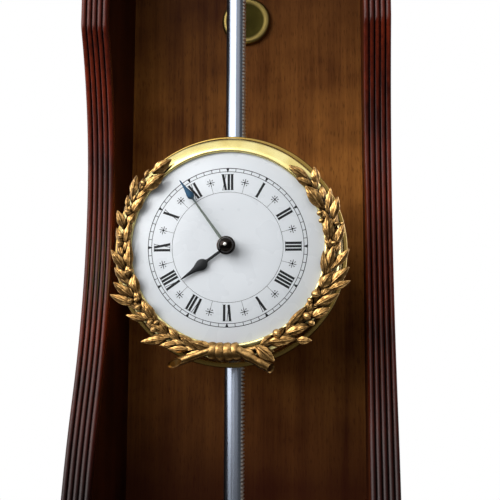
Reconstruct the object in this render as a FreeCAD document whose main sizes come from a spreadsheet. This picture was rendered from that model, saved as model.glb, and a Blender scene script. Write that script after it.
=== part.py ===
import FreeCAD, Part
import math
import os
from types import SimpleNamespace

import Sketcher
from FreeCAD import Placement, Rotation, Vector

# A wall clock that runs by its own weight. A brass drum with the movement inside climbs down a toothed
# steel rod that stands in a mahogany wall case, and the rod turns the pinion that drives the hands.
# X is to the right of the viewer, Y goes into the wall and Z is up. The origin is on the axis of the
# hanging hole, in the back face of the backboard. Lengths are millimetres, angles are degrees.

DIMENSIONS = {
    # wall case
    "inner_width": 147,
    "side_thickness": 15.5,
    "board_thickness": 12,
    "case_bottom": -510,
    "base_top": -492,
    "base_thickness": 14,
    "ceiling": 78,
    "ceiling_thickness": 14,
    "case_top": 96,
    "board_nose": 4,
    "hanging_hole_radius": 4.5,
    "cap_radius": 15.75,
    "cap_thickness": 3.4,
    "cap_rim": 1.8,
    "fit_gap": 0.02,
    "edge_chamfer": 1,
    # swept front edges, as depths from the front of the backboard
    "waist_depth": 51.5,
    "waist_height": -127,
    "crown_depth": 76,
    "foot_depth": 99.8,
    "upper_sweep_radius": 208,
    "crown_radius": 12,
    "lower_sweep_radius": 320,
    "swell_radius": 400,
    "moulding_depth": 5,
    "reed_radius": 1.75,
    "reed_count": 5,
    # cornice and plinth
    "cove_radius": 13,
    "cove_height": 14,
    "cove_fillet": 2,
    "cap_board_lip": 3,
    "cap_board_thickness": 11,
    "cap_board_nose": 3,
    "plinth_ogee": 9,
    "plinth_slab": 20,
    # toothed rod and its sockets
    "rod_radius": 6.35,
    "rack_flat": 4.8,
    "rack_pitch": 2.1,
    "rack_low": -464,
    "rack_high": 44,
    "socket_flange_radius": 13,
    "socket_flange": 3.5,
    "socket_collar_radius": 9.5,
    "socket_height": 13,
    # clock head, as depths behind the face of the dial
    "dial_height": -162,
    "dial_depth": 112,
    "dial_radius": 52.5,
    "dial_thickness": 1.5,
    "dial_hole_radius": 3.6,
    "rod_behind_dial": 44,
    "shell_radius": 60,
    "shell_wall": 2,
    "shell_front": 13,
    "shell_back": 55,
    "shell_ledge": 4,
    "shell_ledge_width": 3,
    "bezel_radius": 63,
    "bezel_crown": 1.8,
    "bezel_back": 17,
    "bezel_sweep": 13,
    "bezel_shoulder": 58.2,
    "bezel_shoulder_depth": 1.2,
    "bezel_brow": 59.4,
    "bezel_brow_depth": 3.4,
    "bezel_brow_roll": 3.6,
    "bezel_rim": 2.2,
    "bezel_rim_front": 12.5,
    "lip_radius": 51,
    "lip_roll": 1,
    "dial_ease": 0.3,
    "shell_ease": 0.1,
    "cover_radius": 60,
    "cover_thickness": 3.5,
    "cover_spigot": 1.7,
    "cover_rim": 8,
    "cover_slope": 2,
    "bush_radius": 9.4,
    "bush_gap": 0.07,
    "bush_ease": 0.05,
    "bush_low": 49,
    "bush_high": 62,
    # laurel wreath
    "wreath_radius": 56.5,
    "branch_radius": 2.3,
    "leaf_length": 12.5,
    "leaf_width": 4.4,
    "leaf_rise": 1.5,
    "leaf_pairs": 10,
    "berry_radius": 1.5,
    "binding_width": 15,
    "binding_wall": 1.1,
    "stem_end_length": 10,
    "binding_ease": 0.05,
    # movement frame, as depths behind the face of the dial
    "front_plate_front": 7,
    "back_plate_front": 31,
    "plate_thickness": 2,
    "front_plate_radius": 46,
    "pillar_radius": 3,
    "pillar_circle": 41.5,
    "pivot_gap": 0.04,
    "cock_front": 51,
    "cock_thickness": 2.5,
    "cock_reach": 21,
    "cock_half_width": 5,
    "plate_ease": 0.3,
    "ballast_front": 36.5,
    "ballast_back": 53.5,
    "ballast_radius": 56.5,
    "left_ballast_edge": 30,
    "right_ballast_edge": 38,
    # wheels and pinions
    "rack_pinion_leaves": 16,
    "rack_pinion_width": 8,
    "great_module": 0.8,
    "great_teeth": 40,
    "idler_teeth": 24,
    "centre_leaves": 16,
    "great_drop": 30,
    "centre_module": 0.5,
    "centre_teeth": 80,
    "third_module": 0.45,
    "third_teeth": 75,
    "fourth_module": 0.35,
    "fourth_teeth": 80,
    "train_leaves": 10,
    "motion_module": 0.5,
    "cannon_leaves": 12,
    "minute_teeth": 36,
    "minute_leaves": 12,
    "hour_teeth": 48,
    "hour_module": 0.4,
    "ratchet_teeth": 20,
    "ratchet_radius": 9,
    # hands
    "minute_hand_length": 43.1,
    "minute_hand_angle": 324.5,
    "hour_hand_length": 30,
    "hour_hand_angle": 234.4,
    "boss_radius": 4.9,
    "boss_edge": 1.2,
    "boss_height": 6.1,
    # escapement
    "escape_teeth": 15,
    "escape_radius": 6,
    "balance_radius": 9,
    "balance_rim": 1.6,
    "balance_hub": 2.2,
    "balance_arm": 1.4,
    "hairspring_turns": 4,
    "hairspring_radius": 4.6,
}

doc = FreeCAD.newDocument("gravity_rack_clock")
sheet = doc.addObject("Spreadsheet::Sheet", "Dimensions")
for row, (alias, number) in enumerate(DIMENSIONS.items(), start=1):
    sheet.set(f"A{row}", alias)
    sheet.set(f"B{row}", str(number))
    sheet.setAlias(f"B{row}", alias)
doc.recompute()


class Measure:
    """A size that knows both its number and the sheet expression that it comes from."""

    def __init__(self, number, text):
        self.number = number
        self.text = text

    def __add__(self, other):
        other = measure(other)
        return Measure(self.number + other.number, f"({self.text} + {other.text})")

    def __sub__(self, other):
        other = measure(other)
        return Measure(self.number - other.number, f"({self.text} - {other.text})")

    def __mul__(self, other):
        other = measure(other)
        return Measure(self.number * other.number, f"({self.text} * {other.text})")

    def __truediv__(self, other):
        other = measure(other)
        return Measure(self.number / other.number, f"({self.text} / {other.text})")

    def __neg__(self):
        return Measure(-self.number, f"(0 - {self.text})")

    def __radd__(self, other):
        return measure(other) + self

    def __rsub__(self, other):
        return measure(other) - self

    def __rmul__(self, other):
        return measure(other) * self


def measure(value):
    """The value as a Measure: a plain number stands for itself."""
    if isinstance(value, Measure):
        return value
    return Measure(float(value), f"({float(value):.6f})")


d = SimpleNamespace(
    **{alias: Measure(float(sheet.get(alias)), f"Dimensions.{alias}") for alias in DIMENSIONS}
)
pieces = []


def bind(item, **sizes):
    """Ties properties of an object to expressions of the sheet."""
    for name, value in sizes.items():
        item.setExpression(name, measure(value).text)


def place(item, x=0, y=0, z=0, turn=None):
    """Puts an object at a point, with the three coordinates tied to the sheet."""
    item.Placement = Placement(
        Vector(measure(x).number, measure(y).number, measure(z).number), turn or Rotation()
    )
    for axis, value in zip("xyz", (x, y, z)):
        item.setExpression(f"Placement.Base.{axis}", measure(value).text)


def head(x=0, depth=0, z=0):
    """The point of the clock head at x and z from the dial's centre, that far behind its face."""
    return dict(x=x, y=depth - d.dial_depth, z=d.dial_height + z)


def new_body(label):
    """A named body that becomes one piece of the clock."""
    body = doc.addObject("PartDesign::Body", label)
    body.Label = label
    pieces.append(body)
    return body


def new_sketch(body, role, name, lift=0):
    """A sketch on one of the body's own origin planes, lifted along the plane's normal."""
    sketch = body.newObject("Sketcher::SketchObject", f"{body.Name}_{name}")
    plane = [feature for feature in body.Origin.OriginFeatures if feature.Role == role][0]
    sketch.AttachmentSupport = [(plane, "")]
    sketch.MapMode = "FlatFace"
    sketch.AttachmentOffset = Placement(Vector(0, 0, measure(lift).number), Rotation())
    sketch.setExpression("AttachmentOffset.Base.z", measure(lift).text)
    return sketch


def hold(sketch, kind, *where, value):
    """A dimension of a sketch, tied to the sheet."""
    value = measure(value)
    index = sketch.addConstraint(Sketcher.Constraint(kind, *where, value.number))
    sketch.setExpression(f"Constraints[{index}]", value.text)


def arc_edge(start, end, radius, bulge):
    """An arc from start to end, bulging left (1) or right (-1) of the way, and whether it is reversed."""
    chord = end - start
    middle = (start + end) * 0.5
    left = Vector(-chord.y, chord.x, 0).normalize()
    sagitta = math.sqrt(max(radius * radius - chord.Length * chord.Length / 4, 0))
    centre = middle - left * (bulge * sagitta)
    first, last = (start, end) if bulge < 0 else (end, start)
    begin = math.atan2(first.y - centre.y, first.x - centre.x)
    finish = math.atan2(last.y - centre.y, last.x - centre.x)
    if finish < begin:
        finish += 2 * math.pi
    circle = Part.Circle(centre, Vector(0, 0, 1), radius)
    return Part.ArcOfCircle(circle, begin, finish), bulge > 0


def outline(sketch, corners):
    """A closed outline. A corner is (x, y), or (x, y, radius, bulge) where an arc runs to the next one."""
    points = [Vector(measure(c[0]).number, measure(c[1]).number, 0) for c in corners]
    first = sketch.GeometryCount
    starts = []
    for index, corner in enumerate(corners):
        here = points[index]
        there = points[(index + 1) % len(points)]
        if len(corner) == 2:
            sketch.addGeometry(Part.LineSegment(here, there))
            starts.append(1)
        else:
            arc, backwards = arc_edge(here, there, measure(corner[2]).number, corner[3])
            sketch.addGeometry(arc)
            starts.append(2 if backwards else 1)
    for index, corner in enumerate(corners):
        edge = first + index
        following = (index + 1) % len(corners)
        ends = (edge, 3 - starts[index], first + following, starts[following])
        sketch.addConstraint(Sketcher.Constraint("Coincident", *ends))
        hold(sketch, "DistanceX", -1, 1, edge, starts[index], value=corner[0])
        hold(sketch, "DistanceY", -1, 1, edge, starts[index], value=corner[1])
        if len(corner) > 2:
            hold(sketch, "Radius", edge, value=corner[2])


def circles(sketch, *rounds):
    """Full circles, each given as (x, y, radius)."""
    for x, y, radius in rounds:
        centre = Vector(measure(x).number, measure(y).number, 0)
        index = sketch.addGeometry(Part.Circle(centre, Vector(0, 0, 1), measure(radius).number))
        hold(sketch, "DistanceX", -1, 1, index, 3, value=x)
        hold(sketch, "DistanceY", -1, 1, index, 3, value=y)
        hold(sketch, "Radius", index, value=radius)


def pad(body, sketch, length, backwards=False):
    """Material raised from a sketch."""
    feature = body.newObject("PartDesign::Pad", f"{body.Name}_pad")
    feature.Profile = sketch
    feature.Reversed = backwards
    bind(feature, Length=length)
    sketch.Visibility = False
    return feature


def turned(label, corners, axis="Y", **where):
    """A piece turned on the lathe about Y or Z, from an outline of (radius, distance along the axis)."""
    body = new_body(label)
    sketch = new_sketch(body, "XY_Plane" if axis == "Y" else "XZ_Plane", "section")
    outline(sketch, corners)
    feature = body.newObject("PartDesign::Revolution", f"{label}_turning")
    feature.Profile = sketch
    feature.ReferenceAxis = (sketch, ["V_Axis"])
    feature.Angle = 360
    place(body, **where)
    return body


def drilled_plate(label, corners, holes, thickness, **where):
    """A flat plate that faces the viewer: an outline or a single circle, drilled through."""
    body = new_body(label)
    sketch = new_sketch(body, "XZ_Plane", "face")
    if len(corners) == 1:
        circles(sketch, *corners)
    else:
        outline(sketch, corners)
    circles(sketch, *holes)
    pad(body, sketch, thickness, backwards=True)
    place(body, **where)
    return body


def shaped(label, shape, **where):
    """A piece whose form is worked out directly, such as a toothed wheel, at its own depth in the head."""
    item = doc.addObject("Part::Feature", label)
    item.Label = label
    item.Shape = Part.Compound(shape.Solids)
    place(item, **where)
    pieces.append(item)
    return item


def group_of(label, items):
    """Like pieces that share one name, kept as separate solids."""
    group = doc.addObject("Part::Compound", label)
    group.Label = label
    group.Links = items
    pieces.append(group)
    return group


# Wall case: backboard, two sides with swept front edges, and the reeded mouldings on those edges

half_width = d.inner_width / 2
outer_half = half_width + d.side_thickness
board_front = -d.board_thickness


def front_edge(sketch, inset):
    """The swept front line of a side, from foot to top, moved back by the inset. Gives its six edges."""
    angle_below = math.acos(
        1
        - (d.foot_depth - d.waist_depth).number
        / (d.lower_sweep_radius + d.swell_radius).number
    )
    angle_above = math.acos(
        1
        - (d.crown_depth - d.waist_depth).number
        / (d.upper_sweep_radius + d.crown_radius).number
    )
    foot_y = board_front - d.foot_depth + inset
    crown_y = board_front - d.crown_depth + inset
    waist_y = board_front - d.waist_depth + inset
    swell = d.swell_radius - inset
    lower = d.lower_sweep_radius + inset
    upper = d.upper_sweep_radius + inset
    crown = d.crown_radius - inset
    waist_z = d.waist_height.number
    swell_z = waist_z - (lower + swell).number * math.sin(angle_below)
    crown_z = waist_z + (upper + crown).number * math.sin(angle_above)

    def centred_arc(centre_y, centre_z, radius, begin, finish):
        circle = Part.Circle(Vector(centre_y, centre_z, 0), Vector(0, 0, 1), radius.number)
        return Part.ArcOfCircle(circle, begin, finish)

    foot = Vector(foot_y.number, d.case_bottom.number, 0)
    top = Vector(crown_y.number, d.case_top.number, 0)
    edges = [
        Part.LineSegment(foot, Vector(foot_y.number, swell_z, 0)),
        centred_arc((foot_y + swell).number, swell_z, swell, math.pi - angle_below, math.pi),
        centred_arc((waist_y - lower).number, waist_z, lower, -angle_below, 0),
        centred_arc((waist_y - upper).number, waist_z, upper, 0, angle_above),
        centred_arc((crown_y + crown).number, crown_z, crown, math.pi, math.pi + angle_above),
        Part.LineSegment(Vector(crown_y.number, crown_z, 0), top),
    ]
    line, swell_arc, lower_arc, upper_arc, crown_arc, top_line = [sketch.addGeometry(e) for e in edges]
    joins = (
        (line, 2, swell_arc, 2),
        (swell_arc, 1, lower_arc, 1),
        (lower_arc, 2, upper_arc, 1),
        (upper_arc, 2, crown_arc, 2),
        (crown_arc, 1, top_line, 1),
    )
    for join in joins:
        sketch.addConstraint(Sketcher.Constraint("Tangent", *join))
    sketch.addConstraint(Sketcher.Constraint("Vertical", line))
    sketch.addConstraint(Sketcher.Constraint("Vertical", top_line))
    for arc, radius in ((swell_arc, swell), (lower_arc, lower), (upper_arc, upper), (crown_arc, crown)):
        hold(sketch, "Radius", arc, value=radius)
    hold(sketch, "DistanceX", -1, 1, line, 1, value=foot_y)
    hold(sketch, "DistanceY", -1, 1, line, 1, value=d.case_bottom)
    hold(sketch, "DistanceX", -1, 1, top_line, 2, value=crown_y)
    hold(sketch, "DistanceY", -1, 1, top_line, 2, value=d.case_top)
    hold(sketch, "DistanceX", -1, 1, lower_arc, 2, value=waist_y)
    hold(sketch, "DistanceY", -1, 1, lower_arc, 2, value=d.waist_height)
    return line, top_line


def case_side(label, x):
    """A side of the case, sawn to the swept line and closed by a straight back edge on the wall."""
    body = new_body(label)
    sketch = new_sketch(body, "YZ_Plane", "profile")
    line, top_line = front_edge(sketch, d.moulding_depth)
    low_front = sketch.getPoint(line, 1)
    high_front = sketch.getPoint(top_line, 2)
    low_back = Vector(0, low_front.y, 0)
    high_back = Vector(0, high_front.y, 0)
    top = sketch.addGeometry(Part.LineSegment(high_front, high_back))
    back = sketch.addGeometry(Part.LineSegment(high_back, low_back))
    bottom = sketch.addGeometry(Part.LineSegment(low_back, low_front))
    for join in ((top_line, 2, top, 1), (top, 2, back, 1), (back, 2, bottom, 1), (bottom, 2, line, 1)):
        sketch.addConstraint(Sketcher.Constraint("Coincident", *join))
    sketch.addConstraint(Sketcher.Constraint("Horizontal", top))
    sketch.addConstraint(Sketcher.Constraint("Horizontal", bottom))
    sketch.addConstraint(Sketcher.Constraint("PointOnObject", back, 1, -2))
    sketch.addConstraint(Sketcher.Constraint("PointOnObject", back, 2, -2))
    pad(body, sketch, d.side_thickness)
    place(body, x=x)


def reeded_moulding(label, x):
    """A strip of five reeds, swept up the front edge of a side."""
    body = new_body(label)
    path = new_sketch(body, "YZ_Plane", "path")
    front_edge(path, d.moulding_depth)
    section = new_sketch(body, "XY_Plane", "section", lift=d.case_bottom)
    back_y = board_front - d.foot_depth + d.moulding_depth
    valley_y = back_y - d.moulding_depth + d.reed_radius / 2
    reed_width = d.side_thickness / d.reed_count
    corners = [(0, valley_y, d.reed_radius, -1)]
    for reed in range(1, int(d.reed_count.number)):
        corners.append((reed_width * reed, valley_y, d.reed_radius, -1))
    corners += [(d.side_thickness, valley_y), (d.side_thickness, back_y), (0, back_y)]
    outline(section, corners)
    pipe = body.newObject("PartDesign::AdditivePipe", f"{label}_sweep")
    pipe.Profile = section
    pipe.Spine = (path, [f"Edge{index + 1}" for index in range(path.GeometryCount)])
    place(body, x=x)


drilled_plate(
    "backboard",
    [
        (-half_width, d.case_bottom),
        (half_width, d.case_bottom),
        (half_width, d.case_top),
        (-half_width, d.case_top),
    ],
    [(0, 0, d.hanging_hole_radius)],
    d.board_thickness,
    y=board_front,
)
case_side("left_side", -outer_half)
case_side("right_side", half_width)
reeded_moulding("left_reeded_moulding", -outer_half)
reeded_moulding("right_reeded_moulding", half_width)


def shelf(label, low, thickness, front):
    """A board between the sides, with a rounded nose on its front edge."""
    body = new_body(label)
    sketch = new_sketch(body, "YZ_Plane", "profile")
    nose = d.board_nose
    corners = [
        (board_front, low),
        (board_front, low + thickness),
        (front + nose, low + thickness, nose, -1),
        (front, low + thickness - nose),
        (front, low + nose, nose, -1),
        (front + nose, low),
    ]
    outline(sketch, corners)
    pad(body, sketch, d.inner_width)
    place(body, x=-half_width)


edge_front = board_front + d.moulding_depth
base_low = d.base_top - d.base_thickness
shelf("top_board", d.ceiling, d.ceiling_thickness, edge_front - d.crown_depth)
shelf("base_board", base_low, d.base_thickness, edge_front - d.foot_depth)

# Cornice, cap board and plinth: mitred frames that stand out from the case at the front and both sides


def stacked_moulding(label, depth, levels):
    """A moulding worked round three sides, as a loft through rectangles given as (overhang, height)."""
    body = new_body(label)
    sections = []
    for number, (overhang, height) in enumerate(levels):
        section = new_sketch(body, "XY_Plane", f"section_{number}", lift=height)
        reach = outer_half + overhang
        front = board_front - depth - overhang
        outline(section, [(-reach, 0), (-reach, front), (reach, front), (reach, 0)])
        sections.append(section)
    loft = body.newObject("PartDesign::AdditiveLoft", f"{label}_loft")
    loft.Profile = sections[0]
    loft.Sections = sections[1:]
    loft.Ruled = True
    return body


COVE_STEPS = 6
cove_low = d.case_top + d.cove_fillet
cove_rise = d.cove_height - d.cove_fillet
cove_levels = [(0, d.case_top)]
for step in range(COVE_STEPS + 1):
    swing = math.radians(90 * step / COVE_STEPS)
    overhang = d.cove_radius * (1 - math.cos(swing))
    cove_levels.append((overhang, cove_low + cove_rise * math.sin(swing)))
stacked_moulding("cornice", d.crown_depth, cove_levels)

# a quarter round in two flats leaves this share of its radius at the middle corner
QUARTER_SHARE = 0.3
cap_low = d.case_top + d.cove_height
cap_high = cap_low + d.cap_board_thickness
cap_nose = d.cap_board_nose
cap_turn = cap_nose * QUARTER_SHARE
cap_reach = d.cove_radius + d.cap_board_lip
stacked_moulding(
    "cap_board",
    d.crown_depth,
    [
        (cap_reach - cap_nose, cap_low),
        (cap_reach - cap_turn, cap_low + cap_turn),
        (cap_reach, cap_low + cap_nose),
        (cap_reach, cap_high - cap_nose),
        (cap_reach - cap_turn, cap_high - cap_turn),
        (cap_reach - cap_nose, cap_high),
    ],
)

OGEE_STEPS = 6
plinth_levels = [(d.plinth_ogee, d.case_bottom - d.plinth_ogee - d.plinth_slab)]
for step in range(OGEE_STEPS + 1):
    share = step / OGEE_STEPS
    overhang = d.plinth_ogee / 2 * (1 + math.cos(math.pi * share))
    plinth_levels.append((overhang, d.case_bottom - d.plinth_ogee * (1 - share)))
stacked_moulding("plinth", d.foot_depth, plinth_levels)

DISH_SHARE = 0.72
DISH_RISE = 1.4
turned(
    "hanging_hole_cap",
    [
        (0, 0),
        (d.cap_radius, 0),
        (d.cap_radius, -d.cap_rim, d.cap_rim, 1),
        (d.cap_radius - d.cap_rim, -(d.cap_rim * 2)),
        (d.cap_radius * DISH_SHARE, -(d.cap_rim * DISH_RISE)),
        (0, -d.cap_thickness),
    ],
    y=board_front,
)

# Toothed rod: a round steel bar with a flat along its right side, cut as a rack, in a socket at each end

PRESSURE_ANGLE = math.radians(25)
TIP_SHARE = 0.8
ROOT_SHARE = 1.1
TOOTH_THINNING = 0.1

rack_module = d.rack_pitch / math.pi
rack_pitch_line = d.rack_flat - rack_module * TIP_SHARE
rod_y = d.rod_behind_dial - d.dial_depth


def toothed_rod():
    """The round bar, kept only left of the zigzag line of the rack teeth."""
    radius = d.rod_radius.number
    low, high = d.base_top.number, d.ceiling.number
    pitch = d.rack_pitch.number
    tip = d.rack_flat.number
    line = rack_pitch_line.number
    root = line - ROOT_SHARE * rack_module.number
    slope = math.tan(PRESSURE_ANGLE)
    half = pitch / 4 * (1 - TOOTH_THINNING)
    half_tip = half - (tip - line) * slope
    half_root = half + (line - root) * slope
    count = int((d.rack_high.number - d.rack_low.number) / pitch)
    corners = [(-radius, low), (radius, low), (radius, d.rack_low.number - pitch)]
    for tooth in range(count):
        middle = d.rack_low.number + tooth * pitch
        corners.append((root, middle - half_root))
        corners.append((tip, middle - half_tip))
        corners.append((tip, middle + half_tip))
        corners.append((root, middle + half_root))
    corners += [(radius, d.rack_low.number + count * pitch), (radius, high), (-radius, high)]
    points = [Vector(x, -radius, z) for x, z in corners]
    face = Part.Face(Part.makePolygon(points + points[:1]))
    comb = face.extrude(Vector(0, 2 * radius, 0))
    bar = Part.makeCylinder(radius, high - low, Vector(0, 0, low))
    return bar.common(comb).Solids[0]


shaped("rack", toothed_rod(), y=rod_y)


def rod_socket(label, seat, direction):
    """A flanged brass cup that holds an end of the rod against its board."""
    bore = d.rod_radius + d.fit_gap
    turned(
        label,
        [
            (bore, 0),
            (d.socket_flange_radius, 0),
            (d.socket_flange_radius, d.socket_flange * direction),
            (d.socket_collar_radius, d.socket_flange * direction),
            (d.socket_collar_radius, (d.socket_height - d.edge_chamfer) * direction),
            (d.socket_collar_radius - d.edge_chamfer, d.socket_height * direction),
            (bore, d.socket_height * direction),
        ],
        axis="Z",
        y=rod_y,
        z=seat,
    )


rod_socket("lower_rod_socket", d.base_top, 1)
rod_socket("upper_rod_socket", d.ceiling, -1)

# Clock head: the drum, its bezel and dial, the rear cover and the two bushes that run on the rod

shell_inside = d.shell_radius - d.shell_wall
back_plate_back = d.back_plate_front + d.plate_thickness
ledge_back = back_plate_back + d.shell_ledge_width
shell = turned(
    "drum_shell",
    [
        (d.shell_radius, d.shell_front),
        (d.shell_radius, d.shell_back),
        (shell_inside, d.shell_back),
        (shell_inside, ledge_back),
        (shell_inside - d.shell_ledge, ledge_back),
        (shell_inside - d.shell_ledge, back_plate_back),
        (shell_inside, back_plate_back),
        (shell_inside, d.shell_front),
    ],
    **head(),
)
doc.recompute()
bush_seats = new_sketch(shell, "XY_Plane", "bush_seats")
circles(bush_seats, (0, d.rod_behind_dial, d.bush_radius + d.bush_ease))
seat_cut = shell.newObject("PartDesign::Pocket", "drum_shell_bush_holes")
seat_cut.Profile = bush_seats
seat_cut.Type = "ThroughAll"
seat_cut.Midplane = True

bezel_inside = d.dial_radius + d.dial_ease
bezel_seat = d.shell_radius + d.shell_ease
sweep_start = (d.lip_radius + d.lip_roll, -d.bezel_crown)
sweep_end = (d.bezel_shoulder, d.bezel_shoulder_depth)
turned(
    "front_bezel",
    [
        (d.lip_radius, 0),
        (d.lip_radius, d.lip_roll - d.bezel_crown, d.lip_roll, -1),
        (*sweep_start, d.bezel_sweep, -1),
        (*sweep_end, d.bezel_brow_roll, -1),
        (d.bezel_brow, d.bezel_brow_depth),
        (d.bezel_radius - d.bezel_rim, d.bezel_rim_front),
        (d.bezel_radius - d.edge_chamfer, d.bezel_rim_front, d.edge_chamfer, -1),
        (d.bezel_radius, d.bezel_rim_front + d.edge_chamfer),
        (d.bezel_radius, d.bezel_back),
        (bezel_seat, d.bezel_back),
        (bezel_seat, d.shell_front),
        (bezel_inside, d.shell_front),
        (bezel_inside, 0),
    ],
    **head(),
)

turned(
    "dial",
    [
        (d.dial_hole_radius, 0),
        (d.dial_radius, 0),
        (d.dial_radius, d.dial_thickness),
        (d.dial_hole_radius, d.dial_thickness),
    ],
    **head(),
)

chamfer = d.edge_chamfer
spigot_outside = shell_inside - d.shell_ease
spigot_inside = spigot_outside - d.cover_spigot
cover_back = d.shell_back + d.cover_thickness
turned(
    "rear_cover",
    [
        (0, d.shell_back),
        (spigot_inside, d.shell_back),
        (spigot_inside, d.shell_back - chamfer),
        (spigot_outside, d.shell_back - chamfer),
        (spigot_outside, d.shell_back),
        (d.cover_radius - chamfer, d.shell_back),
        (d.cover_radius, d.shell_back + chamfer),
        (d.cover_radius, cover_back - chamfer),
        (d.cover_radius - chamfer, cover_back),
        (d.cover_radius - d.cover_rim, cover_back),
        (d.cover_radius - d.cover_rim - d.cover_slope, cover_back - chamfer),
        (0, cover_back - chamfer),
    ],
    **head(),
)


def guide_bush(label, direction):
    """A brass sleeve in the wall of the drum, bored to run on the rod."""
    bore = d.rod_radius + d.bush_gap
    turned(
        label,
        [
            (bore, d.bush_low * direction),
            (d.bush_radius, d.bush_low * direction),
            (d.bush_radius, (d.bush_high - d.edge_chamfer) * direction),
            (d.bush_radius - d.edge_chamfer, d.bush_high * direction),
            (bore, d.bush_high * direction),
        ],
        axis="Z",
        **head(depth=d.rod_behind_dial),
    )


guide_bush("upper_guide_bush", 1)
guide_bush("lower_guide_bush", -1)

# Laurel wreath: two branches of pointed leaves and berries, rising from a binding at the bottom

sweep_ends = [Vector(radius.number, depth.number, 0) for radius, depth in (sweep_start, sweep_end)]
sweep_centre = arc_edge(*sweep_ends, d.bezel_sweep.number, -1)[0].Center
branch_reach = (d.bezel_sweep + d.branch_radius + d.fit_gap).number
branch_offset = d.wreath_radius.number - sweep_centre.x
branch_depth = sweep_centre.y - math.sqrt(branch_reach ** 2 - branch_offset ** 2)


def rim_point(clock_angle, radius, depth):
    """A point at an angle clockwise from twelve, at that radius and depth."""
    swing = math.radians(clock_angle)
    return Vector(radius * math.sin(swing), depth, radius * math.cos(swing))


LEAF_STATIONS = (0.08, 0.35, 0.65)
LEAF_BELLY = 0.8
RIDGE_START = 0.2
RIDGE_SPAN = 0.6


def leaf(base, way):
    """A pointed leaf with a raised midrib, from its base along a direction in the plane of the dial."""
    length = d.leaf_length.number
    half_wide = d.leaf_width.number / 2
    rise = d.leaf_rise.number
    across = Vector(way.z, 0, -way.x)
    left, right, ridge = [], [], []
    for share in LEAF_STATIONS:
        spread = half_wide * math.sin(math.pi * share ** LEAF_BELLY)
        height = rise * math.sin(math.pi * (RIDGE_START + RIDGE_SPAN * share))
        on_axis = base + way * (length * share)
        left.append(on_axis - across * spread)
        right.append(on_axis + across * spread)
        ridge.append(on_axis - Vector(0, height, 0))
    tip = base + way * length
    under = Vector(0, rise, 0)
    under_ridge = [point + under for point in ridge]
    faces = []

    def facet(*corners):
        faces.append(Part.Face(Part.makePolygon(list(corners) + [corners[0]])))

    for edge, near, far in ((left, ridge, under_ridge), (right, ridge, under_ridge)):
        for step in range(len(LEAF_STATIONS) - 1):
            for spine in (near, far):
                facet(edge[step], edge[step + 1], spine[step + 1])
                facet(edge[step], spine[step + 1], spine[step])
        facet(edge[-1], tip, near[-1])
        facet(edge[-1], tip, far[-1])
        facet(edge[0], near[0], far[0])
    return Part.makeSolid(Part.makeShell(faces))


BRANCH_START = 187
BRANCH_END = 325
STEM_SHORT = 12
FIRST_LEAF = 10
STEM_CUT = 8
LEAF_LEANS = (0.62, -0.55)
LEAF_ROOT = 1.2
LEAF_LIFT = 1.1
BERRY_TURN = 5.5
BERRY_OUT = 3.2
BERRY_IN = -3.2
BERRY_LIFT = 1.5
STEM_LEAN = 0.35
STEM_TAPER = 0.75


def laurel_branch(label, side):
    """One branch: a curved stem, leaves to both sides of it, berries between, and a cut stem end."""
    radius = d.wreath_radius.number
    thick = d.branch_radius.number
    sweep = BRANCH_END - BRANCH_START - STEM_SHORT
    stem = Part.makeTorus(radius, thick, Vector(), Vector(0, 1, 0), 0, 360, sweep)
    reach = stem.CenterOfMass
    wanted = rim_point(BRANCH_START + sweep / 2, radius, 0)
    turn = math.degrees(math.atan2(wanted.x, wanted.z) - math.atan2(reach.x, reach.z))
    stem.rotate(Vector(), Vector(0, 1, 0), turn)
    stem.translate(Vector(0, branch_depth, 0))
    growths = [stem]
    pairs = int(d.leaf_pairs.number)
    for pair in range(pairs):
        angle = BRANCH_START + FIRST_LEAF + (sweep - FIRST_LEAF) * pair / (pairs - 1)
        base = rim_point(angle, radius, branch_depth - LEAF_LIFT)
        along = rim_point(angle + 90, 1, 0)
        outward = rim_point(angle, 1, 0)
        for lean in LEAF_LEANS:
            way = (along + outward * lean).normalize()
            growths.append(leaf(base + outward * (lean * LEAF_ROOT), way))
        berry_radius = radius + (BERRY_OUT if pair % 2 else BERRY_IN)
        berry = rim_point(angle + BERRY_TURN, berry_radius, branch_depth - BERRY_LIFT)
        growths.append(Part.makeSphere(d.berry_radius.number, berry))
    cut_angle = BRANCH_START + STEM_CUT
    root = rim_point(cut_angle, radius, branch_depth)
    out = (rim_point(cut_angle, 1, 0) + rim_point(cut_angle + 90, STEM_LEAN, 0)).normalize()
    growths.append(Part.makeCylinder(thick * STEM_TAPER, d.stem_end_length.number, root, out))
    branch = growths[0].multiFuse(growths[1:]).removeSplitter()
    solid = max(branch.Solids, key=lambda part: part.Volume)
    if side > 0:
        solid = solid.mirror(Vector(), Vector(1, 0, 0))
    shaped(label, solid, **head())


laurel_branch("wreath_left_branch", -1)
laurel_branch("wreath_right_branch", 1)


def wreath_binding():
    """Ribbon wound round the crossing of the two branches, a sleeve hollowed to sit on the bezel."""
    radius = d.wreath_radius.number
    inside = (d.branch_radius + d.binding_ease).number
    outside = inside + d.binding_wall.number
    sweep = math.degrees(d.binding_width.number / radius)
    sleeve = Part.makeTorus(radius, outside, Vector(), Vector(0, 1, 0), 0, 360, sweep)
    hole = Part.makeTorus(radius, inside, Vector(), Vector(0, 1, 0))
    sleeve = sleeve.cut(hole).Solids[0]
    reach = sleeve.CenterOfMass
    sleeve.rotate(Vector(), Vector(0, 1, 0), 180 - math.degrees(math.atan2(reach.x, reach.z)))
    sleeve.translate(Vector(0, branch_depth, 0))
    seat = (d.bezel_sweep + d.fit_gap).number
    rest = Part.makeTorus(sweep_centre.x, seat, Vector(0, sweep_centre.y, 0), Vector(0, 1, 0))
    return sleeve.cut(rest)


shaped("wreath_binding", wreath_binding(), **head())

# Movement frame: where each arbor stands, as x and z from the dial's centre

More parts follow.
